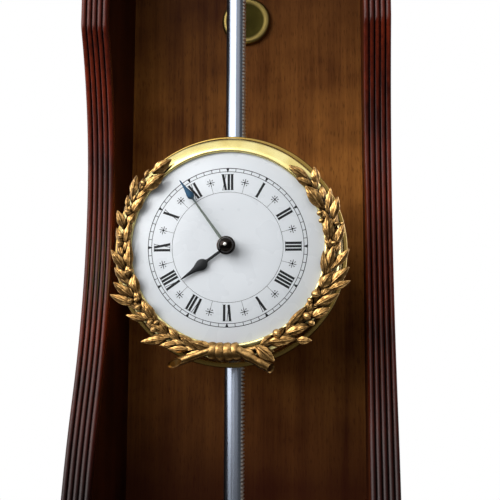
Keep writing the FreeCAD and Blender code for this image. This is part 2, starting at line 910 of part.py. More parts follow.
pinion_pitch_radius = d.rack_pitch * d.rack_pinion_leaves / (2 * math.pi)
great_at = (rack_pitch_line + pinion_pitch_radius, -d.great_drop)


def apart(module, first, second):
    """The distance between the centres of two toothed wheels that mesh."""
    return module.number * (first.number + second.number) / 2


def meeting(first, reach_first, second, reach_second, side):
    """The point at given distances from two others, to one side of the line between them."""
    ax, az = (measure(c).number for c in first)
    bx, bz = (measure(c).number for c in second)
    gap = math.hypot(bx - ax, bz - az)
    along = (reach_first ** 2 - reach_second ** 2 + gap ** 2) / (2 * gap)
    off = math.sqrt(reach_first ** 2 - along ** 2) * side
    ux, uz = (bx - ax) / gap, (bz - az) / gap
    return ax + ux * along - uz * off, az + uz * along + ux * off


def stepped(start, reach, direction):
    """The point at a distance and direction (degrees from X towards Z) from another."""
    swing = math.radians(direction)
    return start[0] + reach * math.cos(swing), start[1] + reach * math.sin(swing)


THIRD_DIRECTION = 135
FOURTH_DIRECTION = 30
ESCAPE_DIRECTION = -20
LEVER_DIRECTION = -30
MINUTE_DIRECTION = 60
LEVER_GAP = 2.2
BALANCE_REACH = 12.5
centre_at = (0.0, 0.0)
idler_at = meeting(
    centre_at,
    apart(d.great_module, d.idler_teeth, d.centre_leaves),
    great_at,
    apart(d.great_module, d.great_teeth, d.idler_teeth),
    -1,
)
third_at = stepped(centre_at, apart(d.centre_module, d.centre_teeth, d.train_leaves), THIRD_DIRECTION)
fourth_at = stepped(third_at, apart(d.third_module, d.third_teeth, d.train_leaves), FOURTH_DIRECTION)
escape_at = stepped(fourth_at, apart(d.fourth_module, d.fourth_teeth, d.train_leaves), ESCAPE_DIRECTION)
lever_at = stepped(escape_at, d.escape_radius.number + LEVER_GAP, LEVER_DIRECTION)
balance_at = stepped(lever_at, BALANCE_REACH, LEVER_DIRECTION)
minute_at = stepped(centre_at, apart(d.motion_module, d.cannon_leaves, d.minute_teeth), MINUTE_DIRECTION)

PIVOT = 0.7
GREAT_PIVOT = 1.2
CENTRE_SHAFT = 1.25
GREAT_SHAFT = 2.0
pillar_turns = (45, 150, 205, 335)
pillars_at = [stepped(centre_at, d.pillar_circle.number, turn) for turn in pillar_turns]
small_pivots = [third_at, fourth_at, escape_at, lever_at, balance_at]

front_holes = [(*spot, PIVOT + d.pivot_gap) for spot in small_pivots]
front_holes += [(*centre_at, CENTRE_SHAFT + d.pivot_gap), (*great_at, GREAT_PIVOT + d.pivot_gap)]
drilled_plate(
    "front_plate",
    [(0, 0, d.front_plate_radius)],
    front_holes,
    d.plate_thickness,
    **head(depth=d.front_plate_front),
)
back_holes = [(*spot, PIVOT + d.pivot_gap) for spot in small_pivots]
back_holes += [(*centre_at, CENTRE_SHAFT + d.pivot_gap), (*great_at, GREAT_SHAFT + d.pivot_gap)]
drilled_plate(
    "back_plate",
    [(0, 0, shell_inside - d.plate_ease)],
    back_holes,
    d.plate_thickness,
    **head(depth=d.back_plate_front),
)

gap_front = d.front_plate_front + d.plate_thickness
pillar_length = d.back_plate_front - gap_front
pillars = []
for number, spot in enumerate(pillars_at, start=1):
    pillar = doc.addObject("Part::Cylinder", f"pillar_{number}")
    bind(pillar, Radius=d.pillar_radius, Height=pillar_length)
    place(pillar, turn=Rotation(Vector(1, 0, 0), -90), **head(spot[0], gap_front, spot[1]))
    pillars.append(pillar)
group_of("plate_pillars", pillars)


def pinion_cock():
    """The bracket on the back plate that carries the rear pivot of the rack pinion, behind the rod."""
    body = new_body("pinion_cock")
    arm = new_sketch(body, "XZ_Plane", "arm")
    foot_x = great_at[0] + d.cock_reach
    half_arm = d.cock_half_width
    eye = GREAT_PIVOT + d.pivot_gap
    outline(
        arm,
        [
            (great_at[0], great_at[1] - half_arm),
            (foot_x + half_arm, great_at[1] - half_arm),
            (foot_x + half_arm, great_at[1] + half_arm),
            (great_at[0], great_at[1] + half_arm, half_arm, -1),
            (great_at[0] - half_arm, great_at[1], half_arm, -1),
        ],
    )
    circles(arm, (*great_at, eye))
    pad(body, arm, d.cock_thickness, backwards=True)
    doc.recompute()
    foot = new_sketch(body, "XZ_Plane", "foot")
    outline(
        foot,
        [
            (foot_x - half_arm, great_at[1] - half_arm),
            (foot_x + half_arm, great_at[1] - half_arm),
            (foot_x + half_arm, great_at[1] + half_arm),
            (foot_x - half_arm, great_at[1] + half_arm),
        ],
    )
    post = body.newObject("PartDesign::Pad", "pinion_cock_post")
    post.Profile = foot
    bind(post, Length=d.cock_front - back_plate_back)
    place(body, **head(depth=d.cock_front))


pinion_cock()


def ballast(label, edge, side):
    """A weight filling one side of the rear chamber of the drum."""
    reach = math.sqrt(d.ballast_radius.number ** 2 - edge.number ** 2)
    corners = [(edge * side, -reach * side, d.ballast_radius, -1), (edge * side, reach * side)]
    drilled_plate(label, corners, [], d.ballast_back - d.ballast_front, **head(depth=d.ballast_front))


ballast("left_ballast", d.left_ballast_edge, -1)
ballast("right_ballast", d.right_ballast_edge, 1)

# Toothed wheels: involute teeth, set so that each pair meshes where the clock stands now


def gear_corners(teeth, module, phase, flank_steps=1):
    """The outline of a toothed wheel about its own centre, with the middle of one tooth at the phase."""
    pitch = module * teeth / 2
    base = pitch * math.cos(PRESSURE_ANGLE)
    tip = pitch + TIP_SHARE * module
    root = pitch - ROOT_SHARE * module
    roll = math.tan(PRESSURE_ANGLE) - PRESSURE_ANGLE
    half = math.pi / (2 * teeth) * (1 - TOOTH_THINNING) + roll
    foot = max(base, root)
    flank = [(root, half)] if root < base else []
    for step in range(flank_steps + 1):
        radius = foot + (tip - foot) * step / flank_steps
        lean = math.acos(min(1.0, base / radius))
        flank.append((radius, half - (math.tan(lean) - lean)))
    corners = []
    for tooth in range(teeth):
        middle = phase + 2 * math.pi * tooth / teeth
        corners += [(radius, middle - off) for radius, off in flank]
        corners += [(radius, middle + off) for radius, off in reversed(flank)]
    return [Vector(radius * math.cos(angle), 0, radius * math.sin(angle)) for radius, angle in corners]


def meshing_phase(here, teeth, phase, there, other_teeth):
    """The phase of a wheel there that puts its tooth gap on the tooth of the wheel here."""
    ax, az = (measure(c).number for c in here)
    bx, bz = (measure(c).number for c in there)
    line = math.atan2(bz - az, bx - ax)
    return line + math.pi + math.pi / other_teeth - (phase - line) * teeth / other_teeth


HUB_SHARE = 0.28
HUB_WALL = 1.4
RIM_MODULES = 2.2
SPOKE_MODULES = 2.4
WHEEL_SPOKES = 5


def spoke_windows(count, hub, rim, spoke):
    """The openings between the spokes of a wheel, as closed outlines."""
    windows = []
    for number in range(count):
        begin = 2 * math.pi * number / count
        finish = 2 * math.pi * (number + 1) / count
        inner = math.asin(spoke / 2 / hub)
        outer = math.asin(spoke / 2 / rim)

        def at(radius, angle):
            return Vector(radius * math.cos(angle), 0, radius * math.sin(angle))

        middle = (begin + finish) / 2
        a, b = at(hub, begin + inner), at(rim, begin + outer)
        c, e = at(rim, finish - outer), at(hub, finish - inner)
        edges = [
            Part.LineSegment(a, b).toShape(),
            Part.Arc(b, at(rim, middle), c).toShape(),
            Part.LineSegment(c, e).toShape(),
            Part.Arc(e, at(hub, middle), a).toShape(),
        ]
        windows.append(Part.Wire(edges))
    return windows


def toothed(teeth, module, phase, front, width, bore=None, spokes=0, flank_steps=1):
    """A toothed wheel or pinion about Y, from a depth backwards, bored and crossed out as asked."""
    corners = gear_corners(teeth, module, phase, flank_steps)
    wires = [Part.makePolygon(corners + corners[:1])]
    if bore:
        wires.append(Part.Wire(Part.makeCircle(bore, Vector(), Vector(0, 1, 0))))
    if spokes:
        root = module * teeth / 2 - ROOT_SHARE * module
        hub = max(root * HUB_SHARE, bore + HUB_WALL)
        wires += spoke_windows(spokes, hub, root - RIM_MODULES * module, SPOKE_MODULES * module)
    face = Part.makeFace(wires, "Part::FaceMakerBullseye")
    solid = face.extrude(Vector(0, width, 0))
    solid.translate(Vector(0, front, 0))
    return solid


def shaft(*steps):
    """A turned arbor about Y: (radius, from depth, to depth) for each length of it."""
    lengths = [
        Part.makeCylinder(radius, finish - begin, Vector(0, begin, 0), Vector(0, 1, 0))
        for radius, begin, finish in steps
    ]
    return lengths[0].fuse(lengths[1:]).removeSplitter() if len(lengths) > 1 else lengths[0]


def teeth_of(cell):
    """A count as a whole number."""
    return int(cell.number)


inner_face = gap_front.number
outer_face = d.back_plate_front.number
front_face = d.front_plate_front.number
back_face = back_plate_back.number
END_SHAKE = 0.3
FINE_FLANK = 2

# Great arbor: the pinion that the rod turns, the ratchet wheel, and the great wheel with its click

rod_line_z = -d.dial_height.number + d.rack_low.number
great_z = measure(great_at[1]).number
pinion_radius = pinion_pitch_radius.number
gap_above_tooth = d.rack_pitch.number / 2
pinion_phase = math.pi + (great_z - rod_line_z - gap_above_tooth) / pinion_radius
pinion_front = d.rod_behind_dial.number - d.rack_pinion_width.number / 2
rack_pinion = toothed(
    teeth_of(d.rack_pinion_leaves),
    rack_module.number,
    pinion_phase,
    pinion_front,
    d.rack_pinion_width.number,
    flank_steps=FINE_FLANK,
)
GREAT_WHEEL_FRONT = 26.0
GREAT_WHEEL_WIDTH = 2.5
RATCHET_FRONT = 23.6
RATCHET_WIDTH = 2.2
RATCHET_DEPTH = 1.4
cock_back = (d.cock_front + d.cock_thickness).number
great_arbor = shaft(
    (GREAT_PIVOT, front_face, inner_face + END_SHAKE),
    (GREAT_SHAFT, inner_face + END_SHAKE, d.cock_front.number - END_SHAKE),
    (GREAT_PIVOT, d.cock_front.number - END_SHAKE, cock_back),
)
shaped("rack_pinion", great_arbor.fuse(rack_pinion).removeSplitter(), **head(great_at[0], 0, great_at[1]))

ARBOR_GAP = d.fit_gap.number
great_phase = 0.0
great_wheel = toothed(
    teeth_of(d.great_teeth),
    d.great_module.number,
    great_phase,
    GREAT_WHEEL_FRONT,
    GREAT_WHEEL_WIDTH,
    bore=GREAT_SHAFT + ARBOR_GAP,
    spokes=WHEEL_SPOKES,
)
shaped("great_wheel", great_wheel, **head(great_at[0], 0, great_at[1]))


def ratchet():
    """Saw teeth, steep on the driving side, that the click drops behind."""
    teeth = teeth_of(d.ratchet_teeth)
    tip = d.ratchet_radius.number
    root = tip - RATCHET_DEPTH
    corners = []
    for tooth in range(teeth):
        angle = 2 * math.pi * tooth / teeth
        corners.append(Vector(root * math.cos(angle), 0, root * math.sin(angle)))
        corners.append(Vector(tip * math.cos(angle), 0, tip * math.sin(angle)))
    bore = Part.Wire(Part.makeCircle(GREAT_SHAFT + ARBOR_GAP, Vector(), Vector(0, 1, 0)))
    face = Part.makeFace([Part.makePolygon(corners + corners[:1]), bore], "Part::FaceMakerBullseye")
    solid = face.extrude(Vector(0, RATCHET_WIDTH, 0))
    solid.translate(Vector(0, RATCHET_FRONT, 0))
    return solid


shaped("ratchet_wheel", ratchet(), **head(great_at[0], 0, great_at[1]))

CLICK_PIVOT = (13.9, 3.2)
CLICK_WIDTH = 1.8
CLICK_GAP = 0.25
SCREW_RADIUS = 0.9
SCREW_PLAY = 0.2
SCREW_HEAD = 0.9
SCREW_HEAD_SHARE = 1.9
EYE_GAP = 0.05
# the beak and throat are set from the ratchet's tip, the back of the click from its pivot
CLICK_BEAK = ((-0.55, -0.95), (1.2, -1.0))
CLICK_BACK = ((1.9, -0.3), (0.6, 1.9), (-1.7, 0.8))
CLICK_THROAT = (0.4, -0.3)


def click():
    """A pawl that hangs on a screw in the great wheel, with its beak in the ratchet."""
    px, pz = CLICK_PIVOT
    tip = d.ratchet_radius.number
    corners = [Vector(tip + x, 0, z) for x, z in CLICK_BEAK]
    corners += [Vector(px + x, 0, pz + z) for x, z in CLICK_BACK]
    corners.append(Vector(tip + CLICK_THROAT[0], 0, CLICK_THROAT[1]))
    face = Part.Face(Part.makePolygon(corners + corners[:1]))
    solid = face.extrude(Vector(0, CLICK_WIDTH, 0))
    eye = Part.makeCylinder(SCREW_RADIUS + EYE_GAP, CLICK_WIDTH, Vector(px, 0, pz), Vector(0, 1, 0))
    solid = solid.cut(eye)
    solid.translate(Vector(0, GREAT_WHEEL_FRONT - CLICK_GAP - CLICK_WIDTH, 0))
    return solid


def click_screw():
    """The shouldered screw that the click turns on."""
    px, pz = CLICK_PIVOT
    front = GREAT_WHEEL_FRONT - CLICK_GAP - CLICK_WIDTH - SCREW_PLAY
    screw = shaft(
        (SCREW_RADIUS * SCREW_HEAD_SHARE, front - SCREW_HEAD, front),
        (SCREW_RADIUS, front, GREAT_WHEEL_FRONT),
    )
    screw.translate(Vector(px, 0, pz))
    return screw


shaped("click", click(), **head(great_at[0], 0, great_at[1]))
shaped("click_screw", click_screw(), **head(great_at[0], 0, great_at[1]))

# Idler: turns on a stud in the back plate, so that the hands go round the right way

STUD_FRONT = 24.0
IDLER_FRONT = GREAT_WHEEL_FRONT
IDLER_WIDTH = GREAT_WHEEL_WIDTH
STUD_RADIUS = 1.6
STUD_FLANGE = 2.88
idler_teeth = teeth_of(d.idler_teeth)
idler_phase = meshing_phase(great_at, teeth_of(d.great_teeth), great_phase, idler_at, idler_teeth)
idler = toothed(
    teeth_of(d.idler_teeth),
    d.great_module.number,
    idler_phase,
    IDLER_FRONT,
    IDLER_WIDTH,
    bore=STUD_RADIUS + d.pivot_gap.number,
    flank_steps=FINE_FLANK,
)
shaped("idler_wheel", idler, **head(idler_at[0], 0, idler_at[1]))
stud = shaft(
    (STUD_FLANGE, STUD_FRONT, IDLER_FRONT - END_SHAKE),
    (STUD_RADIUS, IDLER_FRONT - END_SHAKE, IDLER_FRONT + IDLER_WIDTH + END_SHAKE),
    (STUD_FLANGE, IDLER_FRONT + IDLER_WIDTH + END_SHAKE, outer_face),
)
shaped("idler_stud", stud, **head(idler_at[0], 0, idler_at[1]))

# Centre arbor: turns once an hour, and drives both the hands and the rest of the train

CENTRE_WHEEL_FRONT = 20.0
CENTRE_WHEEL_WIDTH = 1.3
CENTRE_TIP = -6.4
PINION_OVERRUN = 0.5
CENTRE_BODY = CENTRE_SHAFT + 0.6
centre_leaves = teeth_of(d.centre_leaves)
centre_phase = meshing_phase(idler_at, idler_teeth, idler_phase, centre_at, centre_leaves)
centre_pinion = toothed(
    centre_leaves,
    d.great_module.number,
    centre_phase,
    GREAT_WHEEL_FRONT - PINION_OVERRUN,
    GREAT_WHEEL_WIDTH + 2 * PINION_OVERRUN,
    flank_steps=FINE_FLANK,
)
centre_arbor = shaft(
    (CENTRE_SHAFT, CENTRE_TIP, inner_face + END_SHAKE),
    (CENTRE_BODY, inner_face + END_SHAKE, outer_face - END_SHAKE),
    (CENTRE_SHAFT, outer_face - END_SHAKE, back_face),
)
shaped("centre_arbor", centre_arbor.fuse(centre_pinion).removeSplitter(), **head())


def train_wheel(label, spot, teeth, module, phase, front, width, bore):
    """A crossed-out brass wheel of the going train on its arbor."""
    solid = toothed(teeth, module, phase, front, width, bore=bore, spokes=WHEEL_SPOKES)
    shaped(label, solid, **head(spot[0], 0, spot[1]))


def train_arbor(label, spot, module, phase, front, width, radius):
    """A steel arbor with its pinion, pivoted in both plates."""
    leaves = teeth_of(d.train_leaves)
    pinion = toothed(leaves, module, phase, front, width, flank_steps=FINE_FLANK)
    arbor = shaft(
        (PIVOT, front_face, inner_face + END_SHAKE),
        (radius, inner_face + END_SHAKE, outer_face - END_SHAKE),
        (PIVOT, outer_face - END_SHAKE, back_face),
    )
    shaped(label, arbor.fuse(pinion).removeSplitter(), **head(spot[0], 0, spot[1]))


leaves = teeth_of(d.train_leaves)
TRAIN_SHAFT = 1.1
TRAIN_PINION_WIDTH = 4.0
THIRD_PINION_FRONT = 18.6
THIRD_WHEEL_FRONT = 15.0
THIRD_WHEEL_WIDTH = 1.1
FOURTH_PINION_FRONT = 13.6
FOURTH_WHEEL_FRONT = 10.9
FOURTH_WHEEL_WIDTH = 0.9
ESCAPE_PINION_FRONT = 9.8
ESCAPE_PINION_WIDTH = 3.2
third_wheel_phase = 0.0
fourth_wheel_phase = 0.0
centre_wheel_phase = 0.0
train_wheel(
    "centre_wheel",
    centre_at,
    teeth_of(d.centre_teeth),
    d.centre_module.number,
    centre_wheel_phase,
    CENTRE_WHEEL_FRONT,
    CENTRE_WHEEL_WIDTH,
    CENTRE_BODY + ARBOR_GAP,
)
third_phase = meshing_phase(centre_at, teeth_of(d.centre_teeth), centre_wheel_phase, third_at, leaves)
train_arbor(
    "third_arbor",
    third_at,
    d.centre_module.number,
    third_phase,
    THIRD_PINION_FRONT,
    TRAIN_PINION_WIDTH,
    TRAIN_SHAFT,
)
train_wheel(
    "third_wheel",
    third_at,
    teeth_of(d.third_teeth),
    d.third_module.number,
    third_wheel_phase,
    THIRD_WHEEL_FRONT,
    THIRD_WHEEL_WIDTH,
    TRAIN_SHAFT + ARBOR_GAP,
)
fourth_phase = meshing_phase(third_at, teeth_of(d.third_teeth), third_wheel_phase, fourth_at, leaves)
train_arbor(
    "fourth_arbor",
    fourth_at,
    d.third_module.number,
    fourth_phase,
    FOURTH_PINION_FRONT,
    TRAIN_PINION_WIDTH,
    TRAIN_SHAFT,
)
train_wheel(
    "fourth_wheel",
    fourth_at,
    teeth_of(d.fourth_teeth),
    d.fourth_module.number,
    fourth_wheel_phase,
    FOURTH_WHEEL_FRONT,
    FOURTH_WHEEL_WIDTH,
    TRAIN_SHAFT + ARBOR_GAP,
)
escape_phase = meshing_phase(fourth_at, teeth_of(d.fourth_teeth), fourth_wheel_phase, escape_at, leaves)
train_arbor(
    "escape_arbor",
    escape_at,
    d.fourth_module.number,
    escape_phase,
    ESCAPE_PINION_FRONT,
    ESCAPE_PINION_WIDTH,
    PIVOT,
)

# Escapement: club-toothed escape wheel, pallet lever and sprung balance

ESCAPE_FRONT = 16.0
ESCAPE_WIDTH = 0.8
ESCAPE_ROOT_SHARE = 0.72
ESCAPE_RIM_SHARE = 0.58
ESCAPE_SPOKES = 4
ESCAPE_SPOKE = 0.8
# how far each corner of a tooth leads its tip, in radians: heel, tip, toe and back
HEEL_LEAD, TIP_LEAD, TOE_LEAD, BACK_LEAD = -0.06, 0.0, 0.05, 0.16


def escape_wheel():
    """Fifteen pointed teeth leaning forward on a thin crossed rim."""
    teeth = teeth_of(d.escape_teeth)
    tip = d.escape_radius.number
    root = tip * ESCAPE_ROOT_SHARE
    tooth_line = ((root, HEEL_LEAD), (tip, TIP_LEAD), (tip, TOE_LEAD), (root, BACK_LEAD))
    corners = []
    for tooth in range(teeth):
        angle = 2 * math.pi * tooth / teeth
        for radius, lead in tooth_line:
            corners.append(Vector(radius * math.cos(angle + lead), 0, radius * math.sin(angle + lead)))
    bore = Part.Wire(Part.makeCircle(PIVOT + ARBOR_GAP, Vector(), Vector(0, 1, 0)))
    wires = [Part.makePolygon(corners + corners[:1]), bore]
    wires += spoke_windows(ESCAPE_SPOKES, tip * HUB_SHARE, tip * ESCAPE_RIM_SHARE, ESCAPE_SPOKE)
    solid = Part.makeFace(wires, "Part::FaceMakerBullseye").extrude(Vector(0, ESCAPE_WIDTH, 0))
    solid.translate(Vector(0, ESCAPE_FRONT, 0))
    return solid


shaped("escape_wheel", escape_wheel(), **head(escape_at[0], 0, escape_at[1]))

LEVER_WIDTH = 1.0
LEVER_REACH = 9.0
PALLET_CLEAR = 0.75
PALLET_SPREAD = 48
ARCH_SPREAD = 24
PALLET_DEPTH = 1.4
LEVER_NECK = 1.3
# half of the lever's outline, as distances along it and out from its middle line
LEVER_TAIL = ((1.6, 1.1), (LEVER_REACH, 0.5), (LEVER_REACH + 0.9, 0.9), (LEVER_REACH + 0.9, 0.45))
FORK_DEPTH = 0.2


def pallet_lever():
    """Two pallet arms that straddle the escape wheel and a forked tail towards the balance."""
    toward = math.radians(LEVER_DIRECTION)
    along = Vector(math.cos(toward), 0, math.sin(toward))
    across = Vector(-along.z, 0, along.x)
    pallet_radius = d.escape_radius.number + PALLET_CLEAR
    wheel_centre = along * -(d.escape_radius.number + LEVER_GAP)

    def over_wheel(degrees, radius):
        turn = math.radians(degrees)
        return wheel_centre + along * (radius * math.cos(turn)) + across * (radius * math.sin(turn))

    low_arch, high_arch = (over_wheel(side * ARCH_SPREAD, pallet_radius) for side in (-1, 1))
    low_tip, high_tip = (over_wheel(side * PALLET_SPREAD, pallet_radius) for side in (-1, 1))
    low_back, high_back = (over_wheel(side * PALLET_SPREAD, pallet_radius + PALLET_DEPTH) for side in (-1, 1))
    corners = [low_tip, low_back]
    corners += [along * far - across * out for far, out in LEVER_TAIL]
    corners.append(along * (LEVER_REACH - FORK_DEPTH))
    corners += [along * far + across * out for far, out in reversed(LEVER_TAIL)]
    corners += [high_back, high_tip, high_arch, along * -LEVER_NECK, low_arch]
    body = Part.Face(Part.makePolygon(corners + corners[:1])).extrude(Vector(0, LEVER_WIDTH, 0))
    body.translate(Vector(0, ESCAPE_FRONT, 0))
    arbor = shaft((PIVOT, front_face, back_face))
    return body.fuse(arbor).removeSplitter()


shaped("pallet_lever", pallet_lever(), **head(lever_at[0], 0, lever_at[1]))

BALANCE_FRONT = 18.6
BALANCE_WIDTH = 1.4
STAFF_RADIUS = 0.9
balance_rim = d.balance_radius.number - d.balance_rim.number
balance_wires = [
    Part.Wire(Part.makeCircle(d.balance_radius.number, Vector(), Vector(0, 1, 0))),
    Part.Wire(Part.makeCircle(STAFF_RADIUS + ARBOR_GAP, Vector(), Vector(0, 1, 0))),
]
balance_wires += spoke_windows(2, d.balance_hub.number, balance_rim, d.balance_arm.number)
balance_face = Part.makeFace(balance_wires, "Part::FaceMakerBullseye")
balance_solid = balance_face.extrude(Vector(0, BALANCE_WIDTH, 0))
balance_solid.translate(Vector(0, BALANCE_FRONT, 0))
shaped("balance_wheel", balance_solid, **head(balance_at[0], 0, balance_at[1]))
staff = shaft(
    (PIVOT, front_face, inner_face + END_SHAKE),
    (STAFF_RADIUS, inner_face + END_SHAKE, outer_face - END_SHAKE),
    (PIVOT, outer_face - END_SHAKE, back_face),
)
shaped("balance_staff", staff, **head(balance_at[0], 0, balance_at[1]))

HAIRSPRING_FRONT = 23.5
HAIRSPRING_WIRE = 0.2
COLLET_WALL = 0.5
COLLET_HALF = 0.45
SPRING_STUD_RADIUS = 0.7
SPRING_STUD_LEAD = 0.6


def hairspring():
    """A flat spiral of half circles, from the collet on the staff out to the stud."""
    turns = teeth_of(d.hairspring_turns)
    inner = STAFF_RADIUS + COLLET_WALL
    step = (d.hairspring_radius.number - inner) / (2 * turns)
    edges = []
    x = inner
    for half in range(2 * turns):
        sign = 1 if half % 2 == 0 else -1
        far = -sign * (inner + step * (half + 1))
        middle = (x + far) / 2
        bulge = abs(x - far) / 2
        half_turn = Part.Arc(Vector(x, 0, 0), Vector(middle, 0, sign * bulge), Vector(far, 0, 0))
        edges.append(half_turn.toShape())
        x = far
    path = Part.Wire(edges)
    start = Vector(inner, 0, 0)
    section = Part.Wire(Part.makeCircle(HAIRSPRING_WIRE, start, Vector(0, 0, 1)))
    coil = path.makePipeShell([section], True, False)
    collet = shaft((inner, -COLLET_HALF, COLLET_HALF))
    collet = collet.cut(shaft((STAFF_RADIUS + ARBOR_GAP, -COLLET_HALF, COLLET_HALF)))
    solid = coil.fuse(collet).removeSplitter().Solids[0]
    solid.translate(Vector(0, HAIRSPRING_FRONT, 0))
    return solid


shaped("hairspring", hairspring(), **head(balance_at[0], 0, balance_at[1]))
spring_stud = shaft((SPRING_STUD_RADIUS, HAIRSPRING_FRONT - SPRING_STUD_LEAD, outer_face))
spring_stud_x = balance_at[0] + d.hairspring_radius.number + SPRING_STUD_RADIUS + HAIRSPRING_WIRE
shaped("hairspring_stud", spring_stud, **head(spring_stud_x, 0, balance_at[1]))

# Motion work under the dial: cannon pinion, minute wheel with its pinion, hour wheel with its pipe

MOTION_BACK_FRONT = 5.2
MOTION_BACK_WIDTH = 1.2
HOUR_FRONT = 3.1
HOUR_WIDTH = 1.2
CANNON_PIPE = 1.9
HOUR_PIPE = 2.9
PIPE_GAP = 0.08
CANNON_TIP = -5.4
HOUR_TIP = -2.2
PINION_LEAD = 0.3
POST_LEAD = 0.8
cannon_phase = 0.0
cannon = toothed(
    teeth_of(d.cannon_leaves),
    d.motion_module.number,
    cannon_phase,
    MOTION_BACK_FRONT,
    MOTION_BACK_WIDTH,
    bore=CENTRE_SHAFT + ARBOR_GAP,
    flank_steps=FINE_FLANK,
)
cannon_pipe = shaft((CANNON_PIPE, CANNON_TIP, MOTION_BACK_FRONT))
cannon_pipe = cannon_pipe.cut(shaft((CENTRE_SHAFT + ARBOR_GAP, CANNON_TIP, MOTION_BACK_FRONT)))
shaped("cannon_pinion", cannon.fuse(cannon_pipe).removeSplitter(), **head())

cannon_leaves = teeth_of(d.cannon_leaves)
minute_teeth = teeth_of(d.minute_teeth)
minute_phase = meshing_phase(centre_at, cannon_leaves, cannon_phase, minute_at, minute_teeth)
POST_RADIUS = 1.0
minute_bore = POST_RADIUS + d.pivot_gap.number
minute_wheel = toothed(
    minute_teeth,
    d.motion_module.number,
    minute_phase,
    MOTION_BACK_FRONT,
    MOTION_BACK_WIDTH,
    bore=minute_bore,
)
minute_leaves = teeth_of(d.minute_leaves)
minute_pinion = toothed(
    minute_leaves,
    d.hour_module.number,
    minute_phase,
    HOUR_FRONT - PINION_LEAD,
    MOTION_BACK_FRONT - HOUR_FRONT + PINION_LEAD,
    bore=minute_bore,
    flank_steps=FINE_FLANK,
)
minute_wheel = minute_wheel.fuse(minute_pinion).removeSplitter()
shaped("minute_wheel", minute_wheel, **head(minute_at[0], 0, minute_at[1]))
post = shaft((POST_RADIUS, HOUR_FRONT - POST_LEAD, front_face))
shaped("minute_wheel_post", post, **head(minute_at[0], 0, minute_at[1]))

hour_phase = meshing_phase(minute_at, minute_leaves, minute_phase, centre_at, teeth_of(d.hour_teeth))
hour_wheel = toothed(
    teeth_of(d.hour_teeth),
    d.hour_module.number,
    hour_phase,
    HOUR_FRONT,
    HOUR_WIDTH,
    bore=CANNON_PIPE + PIPE_GAP,
)
hour_pipe = shaft((HOUR_PIPE, HOUR_TIP, HOUR_FRONT))
hour_pipe = hour_pipe.cut(shaft((CANNON_PIPE + PIPE_GAP, HOUR_TIP, HOUR_FRONT)))
shaped("hour_wheel", hour_wheel.fuse(hour_pipe).removeSplitter(), **head())

# Hands: a spear for the minutes, a drop and point for the hours, under a domed boss

HAND_THICKNESS = 0.7
HUB_RIM = 1.5


def hand(label, front, hub, bore, width, clock_angle):
    """A flat hand pointing at a clock angle: a round hub, then (distance, half width) out to the tip."""
    swing = math.radians(clock_angle)
    along = Vector(math.sin(swing), 0, math.cos(swing))
    across = Vector(math.cos(swing), 0, -math.sin(swing))
    left = [along * far - across * wide for far, wide in width]
    right = [along * far + across * wide for far, wide in reversed(width)]
    corners = left + right
    blade = Part.Face(Part.makePolygon(corners + corners[:1])).extrude(Vector(0, HAND_THICKNESS, 0))
    ring = Part.makeCylinder(hub, HAND_THICKNESS, Vector(), Vector(0, 1, 0))
    solid = blade.fuse(ring)
    solid = solid.cut(Part.makeCylinder(bore, HAND_THICKNESS, Vector(), Vector(0, 1, 0))).removeSplitter()
    solid.translate(Vector(0, front, 0))
    shaped(label, solid, **head())


BULB_STEPS = 8
BULB_HALF_WIDTH = 3.0
HOUR_ROOT, HOUR_NECK, HOUR_POINT, HOUR_TIP_WIDTH = 1.3, 0.9, 0.7, 0.12
hour_long = d.hour_hand_length.number
bulb_middle = hour_long * 0.56
bulb_length = hour_long * 0.2
hour_widths = [(0, HOUR_ROOT), (bulb_middle - bulb_length, HOUR_NECK)]
for step in range(1, BULB_STEPS):
    swing = math.pi * step / BULB_STEPS
    swell = (BULB_HALF_WIDTH - HOUR_POINT) * math.sin(swing) ** 2
    hour_widths.append((bulb_middle - bulb_length * math.cos(swing), HOUR_POINT + swell))
hour_widths += [(bulb_middle + bulb_length, HOUR_POINT), (hour_long, HOUR_TIP_WIDTH)]
hand(
    "hour_hand",
    HOUR_TIP,
    HOUR_PIPE + HUB_RIM,
    HOUR_PIPE + ARBOR_GAP,
    hour_widths,
    d.hour_hand_angle.number,
)

# the spear's half widths, at shares of the minute hand's length
SPEAR = ((0, 1.0), (0.72, 0.45), (0.8, 1.25), (0.88, 0.8), (1, 0.1))
minute_widths = [(d.minute_hand_length.number * share, wide) for share, wide in SPEAR]
hand(
    "minute_hand",
    CANNON_TIP,
    CANNON_PIPE + HUB_RIM,
    CANNON_PIPE + ARBOR_GAP,
    minute_widths,
    d.minute_hand_angle.number,
)

boss_back = CANNON_TIP - d.fit_gap
boss_bore = CENTRE_SHAFT + d.fit_gap
bore_end = CENTRE_TIP - d.shell_ease
turned(
    "hand_boss",
    [
        (boss_bore, boss_back),
        (d.boss_radius, boss_back),
        (d.boss_radius, CANNON_TIP - d.boss_edge, d.boss_radius, 1),
        (0, CANNON_TIP - d.boss_height),
        (0, bore_end),
        (boss_bore, bore_end),
    ],
    **head(),
)

# Every object is sound before anything is written

doc.recompute()
for item in doc.Objects:
    faults = [word for word in item.State if word in ("Invalid", "Error")]
    if faults:
        raise RuntimeError(f"{item.Label} failed: {item.State}")
for piece in pieces:
    if piece.Shape.isNull() or not piece.Shape.isValid() or not piece.Shape.Solids:
        raise RuntimeError(f"{piece.Label} has no sound solid")

os.makedirs("parts", exist_ok=True)
for piece in pieces:
    piece.Shape.exportStep(f"parts/{piece.Label}.step")
    print(piece.Label, round(piece.Shape.Volume, 1), len(piece.Shape.Solids), len(piece.Shape.Faces))
print(len(pieces), "pieces")
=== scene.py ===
import math

import bmesh
import bpy
from mathutils import Matrix, Vector


